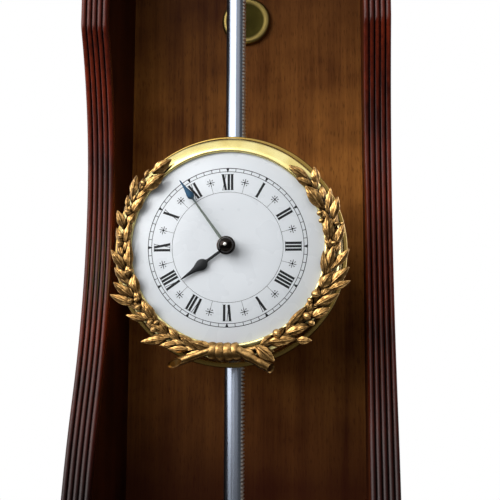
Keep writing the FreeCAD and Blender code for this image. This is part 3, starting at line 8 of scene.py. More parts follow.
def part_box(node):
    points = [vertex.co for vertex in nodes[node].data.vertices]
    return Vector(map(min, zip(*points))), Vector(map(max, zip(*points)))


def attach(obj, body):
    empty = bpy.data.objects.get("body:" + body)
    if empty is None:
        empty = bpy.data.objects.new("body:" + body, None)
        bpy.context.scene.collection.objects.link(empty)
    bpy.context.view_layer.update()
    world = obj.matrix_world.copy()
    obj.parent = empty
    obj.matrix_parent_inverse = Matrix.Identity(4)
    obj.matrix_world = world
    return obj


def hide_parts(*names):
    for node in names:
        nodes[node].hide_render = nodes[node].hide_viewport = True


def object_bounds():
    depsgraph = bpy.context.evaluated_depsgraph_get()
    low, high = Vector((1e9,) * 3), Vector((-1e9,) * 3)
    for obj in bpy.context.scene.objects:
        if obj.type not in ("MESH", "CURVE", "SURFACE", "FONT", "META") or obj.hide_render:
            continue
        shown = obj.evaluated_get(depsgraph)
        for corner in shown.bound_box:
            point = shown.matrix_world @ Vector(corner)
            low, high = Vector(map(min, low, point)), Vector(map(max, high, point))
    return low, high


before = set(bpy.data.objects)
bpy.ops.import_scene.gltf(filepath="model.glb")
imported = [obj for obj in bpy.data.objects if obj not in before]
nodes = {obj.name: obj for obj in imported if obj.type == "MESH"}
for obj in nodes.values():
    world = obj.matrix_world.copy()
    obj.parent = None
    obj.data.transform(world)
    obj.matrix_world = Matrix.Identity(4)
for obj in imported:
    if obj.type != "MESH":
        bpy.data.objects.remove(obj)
cad_low, cad_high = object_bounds()
MM = 0.001

# Wall case: backboard, two swept sides, floor and ceiling.
# Solid mahogany boards, planed, stained a warm brown and oiled, with the grain standing
# upright in the back and sides and running across in the floor and ceiling.


def linear(hex_colour):
    """An sRGB hex colour as the linear values that a shader socket takes."""
    shares = [int(hex_colour[i:i + 2], 16) / 255 for i in (1, 3, 5)]
    return [s / 12.92 if s <= 0.04045 else ((s + 0.055) / 1.055) ** 2.4 for s in shares] + [1.0]


def plug(tree, node, inputs):
    """Fills a node's sockets, each with a value or with another node's output."""
    for socket, value in dict(inputs).items():
        if isinstance(value, bpy.types.NodeSocket):
            tree.links.new(value, node.inputs[socket])
        else:
            node.inputs[socket].default_value = value


def add_node(tree, kind, inputs=(), give=None, **settings):
    """Adds one node with its settings and links, and returns the output asked for or the first in use."""
    made = tree.nodes.new("ShaderNode" + kind)
    for name, value in settings.items():
        setattr(made, name, value)
    plug(tree, made, inputs)
    if give:
        return made.outputs[give]
    return next((output for output in made.outputs if output.enabled), None)


def new_finish(name):
    """An empty material with its shader, and the coordinates of the piece in metres."""
    finish = bpy.data.materials.new(name)
    finish.use_nodes = True
    tree = finish.node_tree
    place = add_node(tree, "TexCoord", give="Object")
    return finish, tree, tree.nodes["Principled BSDF"], place


def lies_along(tree, axis):
    """How far each point of the piece lies along X, Y or Z, in metres."""
    return add_node(tree, "SeparateXYZ", {"Vector": add_node(tree, "TexCoord", give="Object")}, give=axis)


def tone_over(tree, share, hex_colour):
    """Lays another tone over a finish's own colour, as far as the share at each point says."""
    base = tree.nodes["Principled BSDF"].inputs["Base Color"]
    under = base.links[0].from_socket
    over = add_node(tree, "Mix", {"Factor": share, "A": under, "B": linear(hex_colour)}, data_type="RGBA")
    tree.links.new(over, base)


def dress(finish, *names):
    """Gives CAD nodes their finish."""
    for name in names:
        for slot in nodes[name].material_slots:
            slot.material = finish


UPRIGHT = (0, 0, 1)
ACROSS = (1, 0, 0)
# the width and length of the wood's ribbons, fibres and pores: the pores are a quarter of a millimetre
# wide, and are drawn coarser so that they show
RIBBON = (11 * MM, 330 * MM)
FIBRE = (1.5 * MM, 55 * MM)
PORE = (0.8 * MM, 6 * MM)
CLOUD_SIZE = 32 * MM
FIBRE_SHARE = 0.55
DULL_SPREAD = 0.14


def figured_mahogany(name, grain, pale, deep, pore, dull=0.5, sheen=0.06):
    """Stained mahogany: ribbons of light and dark, fine fibre and short dark pores under oil or polish."""
    finish, tree, shader, place = new_finish(name)

    def streaks(size, detail, wander=0.0):
        width, length = size
        scale = [1 / (length if along else width) for along in grain]
        drawn = add_node(tree, "Mapping", {"Vector": place, "Scale": scale})
        inputs = {"Vector": drawn, "Scale": 1.0, "Detail": detail, "Distortion": wander}
        return add_node(tree, "TexNoise", inputs)

    ribbons = streaks(RIBBON, detail=4.0, wander=0.6)
    fibre = streaks(FIBRE, detail=3.0)
    pores = streaks(PORE, detail=1.0)
    clouds = add_node(tree, "TexNoise", {"Vector": place, "Scale": 1 / CLOUD_SIZE, "Detail": 2.0})
    figure = add_node(tree, "Math", {0: fibre, 1: FIBRE_SHARE, 2: ribbons}, operation="MULTIPLY_ADD")
    figure = add_node(tree, "Math", {0: figure, 1: clouds}, operation="ADD")
    share = add_node(tree, "MapRange", {"Value": figure, "From Min": 0.92, "From Max": 1.62})
    wood = add_node(tree, "Mix", {"Factor": share, "A": linear(deep), "B": linear(pale)}, data_type="RGBA")
    pitted = add_node(tree, "MapRange", {"Value": pores, "From Min": 0.56, "From Max": 0.7, "To Max": 0.42})
    rough = add_node(tree, "MapRange", {"Value": fibre, "To Min": dull, "To Max": dull + DULL_SPREAD})
    relief = add_node(tree, "Bump", {"Height": pitted, "Strength": 0.18, "Distance": 0.15 * MM}, invert=True)
    plug(tree, shader, {"Base Color": wood, "Roughness": rough, "Normal": relief})
    plug(tree, shader, {"IOR": 1.5, "Specular IOR Level": sheen})
    tone_over(tree, pitted, pore)
    return finish


upright_board = figured_mahogany("oiled_mahogany_upright", UPRIGHT, "#B07132", "#5E3210", "#2A1205")
level_board = figured_mahogany("oiled_mahogany_level", ACROSS, "#84491C", "#42200A", "#2A1205")
# the sides are a darker mahogany, like the mouldings' wood, partly painted shade for their inner faces,
# which face away from the light
side_board = figured_mahogany("dark_mahogany_upright", UPRIGHT, "#4C220C", "#260D04", "#140602", dull=0.45)

# painted shade: the front of the backboard is painted darker and redder above and below the height of the
# dial, where shade falls on it
LEAST_SHADE_HEIGHT = -125 * MM
FRONT_FACE = -6 * MM
tree = upright_board.node_tree
height = lies_along(tree, "Z")
painted_shade_shares = [
    add_node(tree, "MapRange", {
        "Value": height, "To Max": most,
        "From Min": LEAST_SHADE_HEIGHT + near, "From Max": LEAST_SHADE_HEIGHT + far,
    })
    for near, far, most in ((-20 * MM, -170 * MM, 0.92), (5 * MM, 150 * MM, 0.78))
]
painted_shade_share = add_node(tree, "Math", {0: painted_shade_shares[0], 1: painted_shade_shares[1]}, operation="ADD")
in_front = add_node(tree, "Math", {0: lies_along(tree, "Y"), 1: FRONT_FACE}, operation="LESS_THAN")
painted_shade_share = add_node(tree, "Math", {0: painted_shade_share, 1: in_front}, operation="MULTIPLY")
tone_over(tree, painted_shade_share, "#2E0A01")
dress(upright_board, "backboard")
dress(side_board, "left_side", "right_side")
dress(level_board, "top_board", "base_board")

# Reeded mouldings: a strip of five half-round reeds down the front edge of each side.
# Darker, redder mahogany, run with a scratch stock along the sweep and French polished,
# so each reed carries one soft highlight.

reeded_wood = figured_mahogany(
    "french_polished_red_mahogany", UPRIGHT, "#742712", "#360E06", "#1C0503", dull=0.11, sheen=0.18,
)
# painted shade: like the backboard, the reeds are painted darker below the dial, where shade falls on them
PAINTED_SHADE_TOP = -150 * MM
PAINTED_SHADE_FULL = -300 * MM
tree = reeded_wood.node_tree
painted_foot_shade = add_node(tree, "MapRange", {
    "Value": lies_along(tree, "Z"), "From Min": PAINTED_SHADE_TOP, "From Max": PAINTED_SHADE_FULL, "To Max": 0.95,
})
tone_over(tree, painted_foot_shade, "#190605")
# painted shade: the grooves between the reeds are painted nearly black, where shade falls between them
GROOVE_SHADE_REACH = 3 * MM
openness = add_node(tree, "AmbientOcclusion", {"Distance": GROOVE_SHADE_REACH}, give="AO", samples=8)
painted_groove_shade = add_node(tree, "MapRange", {"Value": openness, "From Min": 1.0, "From Max": 0.72})
tone_over(tree, painted_groove_shade, "#0A0201")
dress(reeded_wood, "left_reeded_moulding", "right_reeded_moulding")

# Cornice, cap board and plinth: moulded mahogany planted on the top and foot of the case.
# Worked with the grain running across the width, and oiled like the boards.

dress(level_board, "cornice", "cap_board", "plinth")

# Hanging hole cover: a small turned brass disc pressed into the backboard over the hole.
# Turned with a rounded rim and a shallow dished face; its brass is painted dark brown as painted shade,
# and its rim paler as a painted highlight.

BRIGHT_BRASS = ("#F8EAA4", "#E6CD7A")
BRASS_CLOUD = 16 * MM
# the cutter leaves rings about a tenth of a millimetre apart, and they are drawn coarser so that they show
RING_SPACING = 5.5 * MM
# the spacing that the wave pattern has at a scale of 1
WAVE_SPACING = 0.31


def lacquered_brass(name, centre, axis, dull, tones=BRIGHT_BRASS):
    """Turned and lacquered brass: bright, with faint rings from the cutter and a slightly uneven tone."""
    finish, tree, shader, place = new_finish(name)
    centred = add_node(tree, "Mapping", {"Vector": place, "Location": [-c for c in centre]})
    rings = add_node(
        tree, "TexWave",
        {"Vector": centred, "Scale": WAVE_SPACING / RING_SPACING, "Distortion": 0.4, "Detail": 1.0},
        give="Fac", wave_type="RINGS", rings_direction=axis,
    )
    clouds = add_node(tree, "TexNoise", {"Vector": centred, "Scale": 1 / BRASS_CLOUD, "Detail": 3.0})
    share = add_node(tree, "MapRange", {"Value": clouds, "From Min": 0.42, "From Max": 0.75})
    pale, deep = (linear(tone) for tone in tones)
    colour = add_node(tree, "Mix", {"Factor": share, "A": pale, "B": deep}, data_type="RGBA")
    rough = add_node(tree, "MapRange", {"Value": clouds, "To Min": dull - 0.05, "To Max": dull + 0.08})
    relief = add_node(tree, "Bump", {"Height": rings, "Strength": 0.06, "Distance": 0.05 * MM})
    plug(tree, shader, {"Base Color": colour, "Roughness": rough, "Normal": relief, "Metallic": 1.0})
    return finish


def opened(name):
    """Names the shape that was just added, and opens it in edit mode with all of it selected."""
    piece = bpy.context.object
    piece.name = name
    bpy.ops.object.transform_apply()
    bpy.ops.object.mode_set(mode="EDIT")
    bpy.ops.mesh.select_all(action="SELECT")
    return piece


def start_ring(name, sides, radius, place, facing):
    """A circle in edit mode, ready to be drawn out into a piece. Its radius is in millimetres."""
    bpy.ops.mesh.primitive_circle_add(vertices=sides, radius=radius * MM, location=place, rotation=facing)
    return opened(name)


def draw_out(step, growth, centre):
    """In edit mode, draws the selected ring out by a step and makes it wider or narrower."""
    bpy.ops.mesh.extrude_edges_move(TRANSFORM_OT_translate={"value": step})
    bpy.ops.transform.resize(value=growth, center_override=centre)


def face_outwards():
    """In edit mode, selects the whole piece and turns its faces outwards."""
    bpy.ops.mesh.select_all(action="SELECT")
    bpy.ops.mesh.normals_make_consistent(inside=False)


def close_ends():
    """In edit mode, fills the open ends of a drawn-out piece."""
    bpy.ops.mesh.select_all(action="SELECT")
    bpy.ops.mesh.remove_doubles(threshold=0.01 * MM)
    bpy.ops.mesh.select_all(action="DESELECT")
    bpy.ops.mesh.select_non_manifold()
    bpy.ops.mesh.edge_face_add()
    face_outwards()


def smooth_below(degrees):
    """Back in object mode, shades the piece smooth except across edges sharper than an angle."""
    bpy.ops.object.mode_set(mode="OBJECT")
    bpy.ops.object.shade_smooth_by_angle(angle=math.radians(degrees))


def turned(name, centre, outline, sides, axis="Y", sharp=35):
    """A piece turned about X or Y: a circle drawn out ring by ring along an outline of
    (radius, distance along the axis) in millimetres."""
    way = Vector((1, 0, 0)) if axis == "X" else Vector((0, 1, 0))
    facing = (0, math.pi / 2, 0) if axis == "X" else (math.pi / 2, 0, 0)
    first_radius, first_along = outline[0]
    piece = start_ring(name, sides, first_radius, Vector(centre) + way * (first_along * MM), facing)
    for (radius, along), (next_radius, next_along) in zip(outline, outline[1:]):
        growth = [1 if on_axis else next_radius / radius for on_axis in way]
        draw_out(way * ((next_along - along) * MM), growth, Vector(centre))
    close_ends()
    smooth_below(sharp)
    return piece


def fit(piece, finish, body, slot, *replaced):
    """Finishes a piece, lets it ride on its body and stand for its CAD nodes."""
    piece.data.materials.clear()
    piece.data.materials.append(finish)
    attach(piece, body)
    if replaced:
        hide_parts(*replaced)


COVER_PLACE = (0, -12 * MM, 0)
COVER_OUTLINE = (
    (15.6, 0), (15.75, -0.4), (15.75, -1.7), (15.5, -2.5), (14.9, -3.1), (14, -3.5), (13, -3.55),
    (12, -3.3), (10.5, -2.9), (7, -2.6), (3, -2.5),
)
RIM_BEGIN = 11 * MM
RIM_FULL = 13.6 * MM
# painted shade: the cover's brass takes dark brown tones that stand in for the shade the disc sits in
cover_brass = lacquered_brass(
    "painted_shade_turned_brass_cover", COVER_PLACE, "Y", dull=0.36, tones=("#2A250C", "#1E1907"),
)
# painted highlight: the turned rim is painted brighter than the dished face
tree = cover_brass.node_tree
place = add_node(tree, "TexCoord", give="Object")
level = add_node(tree, "Mapping", {"Vector": place, "Scale": (1, 0, 1)})
from_middle = add_node(tree, "VectorMath", {0: level}, operation="LENGTH")
rim = add_node(tree, "MapRange", {"Value": from_middle, "From Min": RIM_BEGIN, "From Max": RIM_FULL})
tone_over(tree, rim, "#837140")
hole_cover = turned("hole_cover_disc", COVER_PLACE, COVER_OUTLINE, sides=96)
fit(hole_cover, cover_brass, "case", "polished_brass", "hanging_hole_cap")

# Toothed rod: a round steel rod standing the height of the case, with a rack cut down its right side.
# Drawn and polished bright, so it carries one long highlight, with fine lines along its length.

# the draw lines are a few hundredths of a millimetre wide, and are drawn coarser so that they show
DRAW_LINE = (0.5 * MM, 0.5 * MM, 60 * MM)
TEETH_BEGIN = 3.5 * MM
TEETH_FULL = 3.8 * MM
TEETH_DULLER = 0.3
rod_steel, tree, shader, place = new_finish("polished_drawn_steel")
drawn = add_node(tree, "Mapping", {"Vector": place, "Scale": [1 / size for size in DRAW_LINE]})
lines = add_node(tree, "TexNoise", {"Vector": drawn, "Scale": 1.0, "Detail": 2.0})
tones = {"A": linear("#7F8796"), "B": linear("#9EA5B1")}
steel = add_node(tree, "Mix", {"Factor": lines, **tones}, data_type="RGBA")
# the teeth, on the right of the rod, are left duller than the round by the cutter, and painted paler as a
# painted highlight for the light they catch
to_right = lies_along(tree, "X")
toothed = add_node(tree, "MapRange", {"Value": to_right, "From Min": TEETH_BEGIN, "From Max": TEETH_FULL})
rough = add_node(tree, "MapRange", {"Value": lines, "To Min": 0.2, "To Max": 0.32})
rough = add_node(tree, "Math", {0: toothed, 1: TEETH_DULLER, 2: rough}, operation="MULTIPLY_ADD")
relief = add_node(tree, "Bump", {"Height": lines, "Strength": 0.05, "Distance": 0.03 * MM})
plug(tree, shader, {"Base Color": steel, "Roughness": rough, "Normal": relief, "Metallic": 1.0})
tone_over(tree, toothed, "#EFEDE8")
dress(rod_steel, "rack")

# Rod sockets: two flanged brass collars that hold the ends of the rod to the floor and ceiling.
# Turned brass, each screwed down through its flange.

ROD_AXIS = Vector((0, -68 * MM, 0))
socket_brass = lacquered_brass("lacquered_turned_brass_sockets", ROD_AXIS, "Z", dull=0.24)
dress(socket_brass, "lower_rod_socket", "upper_rod_socket")

# Socket screws: three small slotted screws through the flange of each rod socket, into the wood.
# Turned steel heads, filed flat on top, with a straight saw cut.


def mottled(name, spot, detail, tones, rough=None, relief=None, rest=()):
    """A finish in soft spots that varies between two tones, two roughnesses and, where relief gives a
    strength and a depth, in height. The rest are values for the shader's other sockets."""
    finish, tree, shader, place = new_finish(name)
    spots = add_node(tree, "TexNoise", {"Vector": place, "Scale": 1 / spot, "Detail": detail})
    first, second = (linear(tone) for tone in tones)
    colour = add_node(tree, "Mix", {"Factor": spots, "A": first, "B": second}, data_type="RGBA")
    plug(tree, shader, {"Base Color": colour, **dict(rest)})
    if rough:
        dull = add_node(tree, "MapRange", {"Value": spots, "To Min": rough[0], "To Max": rough[1]})
        tree.links.new(dull, shader.inputs["Roughness"])
    if relief:
        bumps = add_node(tree, "Bump", {"Height": spots, "Strength": relief[0], "Distance": relief[1]})
        tree.links.new(bumps, shader.inputs["Normal"])
    return finish


STONE_RELIEF = (0.1, 0.03 * MM)
FINE_GRAIN = 0.8 * MM


def grained_metal(name, tones, dull, grain=FINE_GRAIN):
    """Metal rubbed on fine stone: an even soft grain that breaks up the reflection a little."""
    return mottled(name, grain, 4.0, tones, (dull - 0.06, dull + 0.1), STONE_RELIEF, {"Metallic": 1.0})


def pick_faces(piece, wanted):
    """In edit mode, selects the faces whose centre and normal pass a test and nothing else."""
    bpy.ops.mesh.select_all(action="DESELECT")
    mesh = bmesh.from_edit_mesh(piece.data)
    for face in mesh.faces:
        if wanted(face.calc_center_median(), face.normal):
            face.select_set(True)
    bmesh.update_edit_mesh(piece.data)


HEAD_SIDES = 28
EASED_SHARE = 0.14
TOP_FACE = 0.99


def screw_head(radius, height, slot_width, slot_depth):
    """A screw head that stands on the origin, facing up, with its edge eased and a slot sawn across it."""
    bpy.ops.mesh.primitive_cylinder_add(
        vertices=HEAD_SIDES, radius=radius * MM, depth=height * MM, location=(0, 0, height / 2 * MM),
    )
    head = opened("screw_head")
    pick_faces(head, lambda centre, normal: normal.z > TOP_FACE)
    bpy.ops.mesh.bevel(offset=EASED_SHARE * radius * MM, segments=2, affect="EDGES")
    for offset in (-slot_width / 2, slot_width / 2):
        pick_faces(head, lambda centre, normal: normal.z > TOP_FACE)
        bpy.ops.mesh.bisect(plane_co=(offset * MM, 0, 0), plane_no=(1, 0, 0))
    pick_faces(head, lambda centre, normal: normal.z > TOP_FACE and abs(centre.x) < slot_width / 4 * MM)
    bpy.ops.mesh.extrude_region_move(TRANSFORM_OT_translate={"value": (0, 0, -slot_depth * MM)})
    face_outwards()
    smooth_below(30)
    return head


def own_copy(original, matrix):
    """A copy with its own mesh, moved to its place."""
    made = original.copy()
    made.data = original.data.copy()
    made.data.transform(matrix)
    bpy.context.scene.collection.objects.link(made)
    return made


def joined(name, parts):
    """Several meshes joined into one piece with that name."""
    bpy.ops.object.select_all(action="DESELECT")
    for part in parts:
        part.select_set(True)
    bpy.context.view_layer.objects.active = parts[0]
    bpy.ops.object.join()
    piece = bpy.context.object
    piece.name = name
    return piece


SOCKET_SCREWS = 3
SOCKET_SCREW_CIRCLE = 11.3 * MM
SOCKET_SLOT_TURN = 1.1
FLANGE = 3.5 * MM
screw_steel = grained_metal("filed_screw_steel", ("#B4B7BC", "#8C9096"), dull=0.28)
small_screw = screw_head(radius=1.5, height=0.7, slot_width=0.4, slot_depth=0.35)
lower_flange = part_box("base_board")[1].z + FLANGE
upper_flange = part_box("top_board")[0].z - FLANGE
screws = []
for number in range(SOCKET_SCREWS):
    around = math.radians(90 + number * 360 / SOCKET_SCREWS)
    spot = ROD_AXIS + Vector((math.cos(around), math.sin(around), 0)) * SOCKET_SCREW_CIRCLE
    turn = Matrix.Rotation(SOCKET_SLOT_TURN * number, 4, "Z")
    for flange, over in ((lower_flange, 0), (upper_flange, math.pi)):
        face = Matrix.Rotation(over, 4, "X") @ turn
        screws.append(own_copy(small_screw, Matrix.Translation(spot + Vector((0, 0, flange))) @ face))
bpy.data.objects.remove(small_screw)
fit(joined("socket_screws", screws), screw_steel, "case", "polished_steel")

# Movement: plates, pillars, wheels and arbors of the gravity driven train, sealed inside the drum.
# Fine grained brass plates and wheels, turned and polished steel arbors, and cast ballast weights.

CAST_GRAIN = 2.5 * MM
clock_brass = grained_metal("fine_grained_clock_brass", ("#DDBB6A", "#B8913F"), dull=0.3)
clock_steel = grained_metal("turned_and_polished_steel", ("#B4B7BC", "#8C9096"), dull=0.25)
ballast_iron = grained_metal("cast_ballast_metal", ("#6A6C70", "#45474B"), dull=0.55, grain=CAST_GRAIN)
dress(
    clock_brass, "front_plate", "back_plate", "plate_pillars", "pinion_cock", "great_wheel", "idler_wheel",
    "centre_wheel", "third_wheel", "fourth_wheel", "escape_wheel", "balance_wheel", "minute_wheel",
    "hour_wheel",
)
dress(
    clock_steel, "rack_pinion", "ratchet_wheel", "click", "click_screw", "idler_stud", "centre_arbor",
    "third_arbor", "fourth_arbor", "escape_arbor", "pallet_lever", "balance_staff", "hairspring",
    "hairspring_stud", "cannon_pinion", "minute_wheel_post",
)
dress(ballast_iron, "left_ballast", "right_ballast")

# Drum and rear cover: the round case of the clock head and the plate that closes it.
# Spun and turned brass, polished and lacquered, the cover held by four slotted screws.

HEAD = Vector((0, -112 * MM, -162 * MM))
ROUND_SIDES = 128
COVER_BACK = 58.5
REAR_OUTLINE = (
    (54.3, 55.02), (54.3, 54.05), (55.9, 54.05), (55.9, 55.02), (59.4, 55.02), (59.85, 55.4), (60, 56),
    (60, 57.6), (59.8, 58.2), (59.3, COVER_BACK), (52.4, COVER_BACK), (51.6, 58.3), (50.6, 57.7),
    (50, 57.5), (20, 57.5),
)
head_brass = lacquered_brass("lacquered_turned_brass_head", HEAD, "Y", dull=0.2)
dress(head_brass, "drum_shell", "upper_guide_bush", "lower_guide_bush")
rear_cover = turned("drum_rear_cover", HEAD, REAR_OUTLINE, ROUND_SIDES)
fit(rear_cover, head_brass, "clock_head", "polished_brass", "rear_cover")

COVER_SCREWS = 4
COVER_SCREW_CIRCLE = 56
COVER_SLOT_TURN = 0.8


def dial_point(clock_angle, radius, depth):
    """A point at an angle clockwise from twelve, its radius and its depth behind the dial in millimetres."""
    swing = math.radians(clock_angle)
    return HEAD + Vector((radius * math.sin(swing), depth, radius * math.cos(swing))) * MM


cover_screw = screw_head(radius=2.2, height=1.1, slot_width=0.6, slot_depth=0.6)
screws = []
for number in range(COVER_SCREWS):
    spot = dial_point(45 + number * 360 / COVER_SCREWS, COVER_SCREW_CIRCLE, COVER_BACK)
    face_back = Matrix.Rotation(-math.pi / 2, 4, "X") @ Matrix.Rotation(COVER_SLOT_TURN * number, 4, "Z")
    screws.append(own_copy(cover_screw, Matrix.Translation(spot) @ face_back))
bpy.data.objects.remove(cover_screw)
fit(joined("cover_screws", screws), screw_steel, "clock_head", "polished_steel")

# Dial: a round copper plate fired with white enamel and held behind the lip of the bezel.
# Very smooth and glossy, cool white, with a faint waviness from the firing.

DIAL_OUTLINE = (
    (3.6, 1.5), (3.6, 0.15), (3.75, 0), (20, 0), (52.2, 0), (52.5, 0.2), (52.5, 1.3), (52.3, 1.5),
    (3.6, 1.5),
)
FIRING_WAVE = 14 * MM
enamel = mottled(
    "fired_white_enamel", FIRING_WAVE, 2.0, ("#E2E7EC", "#E6EAEE"),
    rough=(0.22, 0.34), relief=(0.02, 0.2 * MM), rest={"IOR": 1.5},
)
dial_plate = turned("dial_plate", HEAD, DIAL_OUTLINE, ROUND_SIDES)
fit(dial_plate, enamel, "clock_head", "white_enamel", "dial")

# Dial markings: the printed minute ring, minute ticks, five-minute wedges, Roman hours and star half hours.
# Black ceramic ink fired on the enamel, a film that stands a few hundredths of a millimetre proud.

INK_FILM = 0.05
INK_BITE = 0.02
INK_SPREAD = 0.9 * MM
ink = mottled(
    "fired_black_ink", INK_SPREAD, 2.0, ("#050608", "#101216"), rough=(0.35, 0.5),
    rest={"Specular IOR Level": 0.25},
)
marks = []

bpy.ops.mesh.primitive_plane_add(size=1, location=(0, 0, 0))
stroke = opened("stroke")
bpy.ops.mesh.extrude_region_move(TRANSFORM_OT_translate={"value": (0, 0, 1)})
face_outwards()
bpy.ops.object.mode_set(mode="OBJECT")


def printed_stroke(start, end, width, end_width=None):
    """A straight printed stroke between two points on the dial, tapering if its end has another width."""
    along = end - start
    across = along.cross(Vector((0, -1, 0))).normalized()
    widening = 0 if end_width is None else end_width - width
    made = own_copy(stroke, Matrix.Identity(4))
    for corner in made.data.vertices:
        share = corner.co.y + 0.5
        depth = -INK_FILM if corner.co.z > 0.5 else INK_BITE
        aside = across * (corner.co.x * (width + widening * share) * MM)
        corner.co = start + along * share + aside + Vector((0, depth * MM, 0))
    marks.append(made)


OUTER_RING, INNER_RING, HOUR_CIRCLE = 42.2, 40.35, 29.4
OUTER_LINE, INNER_LINE, HOUR_LINE = 0.36, 0.28, 0.18
TICK, WEDGE_POINT, WEDGE_END, WEDGE_DROP = 0.3, 0.25, 1.7, 0.3
for radius, width in ((OUTER_RING, OUTER_LINE), (INNER_RING, INNER_LINE), (HOUR_CIRCLE, HOUR_LINE)):
    low, high = radius - width / 2, radius + width / 2
    band_outline = ((high, INK_BITE), (high, -INK_FILM), (low, -INK_FILM), (low, INK_BITE), (high, INK_BITE))
    marks.append(turned("ring", HEAD, band_outline, sides=180))
for minute in range(60):
    angle = minute * 6
    outer_end = dial_point(angle, OUTER_RING, 0)
    if minute % 5:
        printed_stroke(dial_point(angle, INNER_RING, 0), outer_end, TICK)
    else:
        printed_stroke(dial_point(angle, INNER_RING - WEDGE_DROP, 0), outer_end, WEDGE_POINT, WEDGE_END)

NUMERAL_FOOT, NUMERAL_TOP = 30.5, 39.0
THICK, HAIR, SERIF, SERIF_REACH = 1.28, 0.3, 0.2, 0.32
HOURS = ("XII", "I", "II", "III", "IIII", "V", "VI", "VII", "VIII", "IX", "X", "XI")
ADVANCE = {"I": 1.78, "V": 2.9, "X": 2.9}
# the strokes of each letter: which side its foot and its top are on, and its width
STROKES = {"I": ((0, 0, THICK),), "V": ((0, -1, THICK), (0, 1, HAIR)), "X": ((1, -1, THICK), (-1, 1, HAIR))}


def numeral_point(clock_angle, across, height):
    """A point of a numeral that stands with its foot towards the centre of the dial."""
    swing = math.radians(clock_angle)
    right = Vector((math.cos(swing), 0, -math.sin(swing)))
    return dial_point(clock_angle, height, 0) + right * (across * MM)


def printed_bar(clock_angle, middle, height, reach, width):
    """A short stroke that lies across a numeral or a star."""
    ends = [numeral_point(clock_angle, middle + way * reach, height) for way in (-1, 1)]
    printed_stroke(*ends, width)


for hour, letters in enumerate(HOURS):
    angle = hour * 30
    edge = -sum(ADVANCE[letter] for letter in letters) / 2
    for letter in letters:
        middle = edge + ADVANCE[letter] / 2
        half = ADVANCE[letter] / 2 - THICK / 2
        for foot_side, top_side, width in STROKES[letter]:
            foot, top = middle + foot_side * half, middle + top_side * half
            start = numeral_point(angle, foot, NUMERAL_FOOT)
            printed_stroke(start, numeral_point(angle, top, NUMERAL_TOP), width)
            printed_bar(angle, top, NUMERAL_TOP, width / 2 + SERIF_REACH, SERIF)
            if letter != "V":
                printed_bar(angle, foot, NUMERAL_FOOT, width / 2 + SERIF_REACH, SERIF)
        edge += ADVANCE[letter]

STAR_CIRCLE, STAR_STALK = 35.4, 0.15
STAR_HEART = 0.36
STAR_RAYS = 8
# each ray's beginning and end from the star's middle, and its width at both
STRAIGHT_RAY = (0, 2.2, 0.52, 0.28)
SLANTING_RAY = (1.15, 1.98, 0.26, 0.56)
for half_hour in range(12):
    angle = half_hour * 30 + 15
    centre = dial_point(angle, STAR_CIRCLE, 0)
    printed_stroke(dial_point(angle, HOUR_CIRCLE, 0), centre, STAR_STALK)
    printed_bar(angle, 0, STAR_CIRCLE, STAR_HEART, 2 * STAR_HEART)
    for ray in range(STAR_RAYS):
        swing = math.radians(angle + ray * 360 / STAR_RAYS)
        way = Vector((math.sin(swing), 0, math.cos(swing))) * MM
        begin, end, width, end_width = SLANTING_RAY if ray % 2 else STRAIGHT_RAY
        printed_stroke(centre + way * begin, centre + way * end, width, end_width)

bpy.data.objects.remove(stroke)
dial_print = joined("dial_print", marks)
fit(dial_print, ink, "clock_head", "black_steel")

# Bezel: the broad sloping ring that holds the dial, with a narrow flat rim where it meets the drum.
# Spun brass, turned bright and lacquered, so the slope shows one pale sheet of light.

BEZEL_OUTLINE = (
    (51, 0), (51, -0.9), (51.1, -1.35), (51.4, -1.65), (51.9, -1.8), (52.5, -1.72), (53.6, -1.4),
    (54.8, -0.93), (55.9, -0.38), (57, 0.33), (58.2, 1.2), (58.75, 1.78), (59.15, 2.5), (59.4, 3.4),
    (60.7, 11.9), (60.95, 12.35), (61.3, 12.5), (62.1, 12.5), (62.6, 12.65), (62.9, 13.05), (63, 13.6),
    (63, 16.6), (62.7, 17), (60.1, 17), (60.1, 13), (52.8, 13), (52.8, 0), (51, 0),
)
BROW_END = HEAD.y + 2 * MM
WALL_BEGIN = HEAD.y + 6 * MM
WREATH_SHADE_REACH = 6 * MM
bezel_brass = lacquered_brass("lacquered_turned_brass_bezel", HEAD, "Y", dull=0.22)
tree = bezel_brass.node_tree
# painted shade: the wall and rim behind the brow are painted a deeper gold, where they lie in shade
painted_wall_shade = add_node(tree, "MapRange", {
    "Value": lies_along(tree, "Y"), "From Min": BROW_END, "From Max": WALL_BEGIN, "To Max": 0.88,
})
tone_over(tree, painted_wall_shade, "#7E5E1E")
# painted shade: close beneath the wreath the brass is painted brown, where the leaves shade it
openness = add_node(tree, "AmbientOcclusion", {"Distance": WREATH_SHADE_REACH}, give="AO", samples=8)
painted_wreath_shade = add_node(tree, "MapRange", {"Value": openness, "From Min": 0.78, "From Max": 0.4})
tone_over(tree, painted_wreath_shade, "#3A2408")
bezel_ring = turned("bezel_ring", HEAD, BEZEL_OUTLINE, sides=160)
fit(bezel_ring, bezel_brass, "clock_head", "polished_brass", "front_bezel")

# Laurel wreath: two branches of leaves and berries that rise from a ribbon binding at the foot.
# Cast brass, chased, gilded and toned dark in the hollows, soldered to the crown of the bezel.

HOLLOW_REACH = 5 * MM
TONING_SPOT = 2.2 * MM
VEINS = 5
# this phase keeps the stems and the binding, which have no unwrapped sheet, out of the dark of a vein
VEIN_PHASE = 2.8
VEIN_HEIGHT = 0.4
# the foot of the rib is one of the leaf's six strips away from its middle
RIB_FOOT = 1 / 6
gilt, tree, shader, place = new_finish("antiqued_gilt_brass")
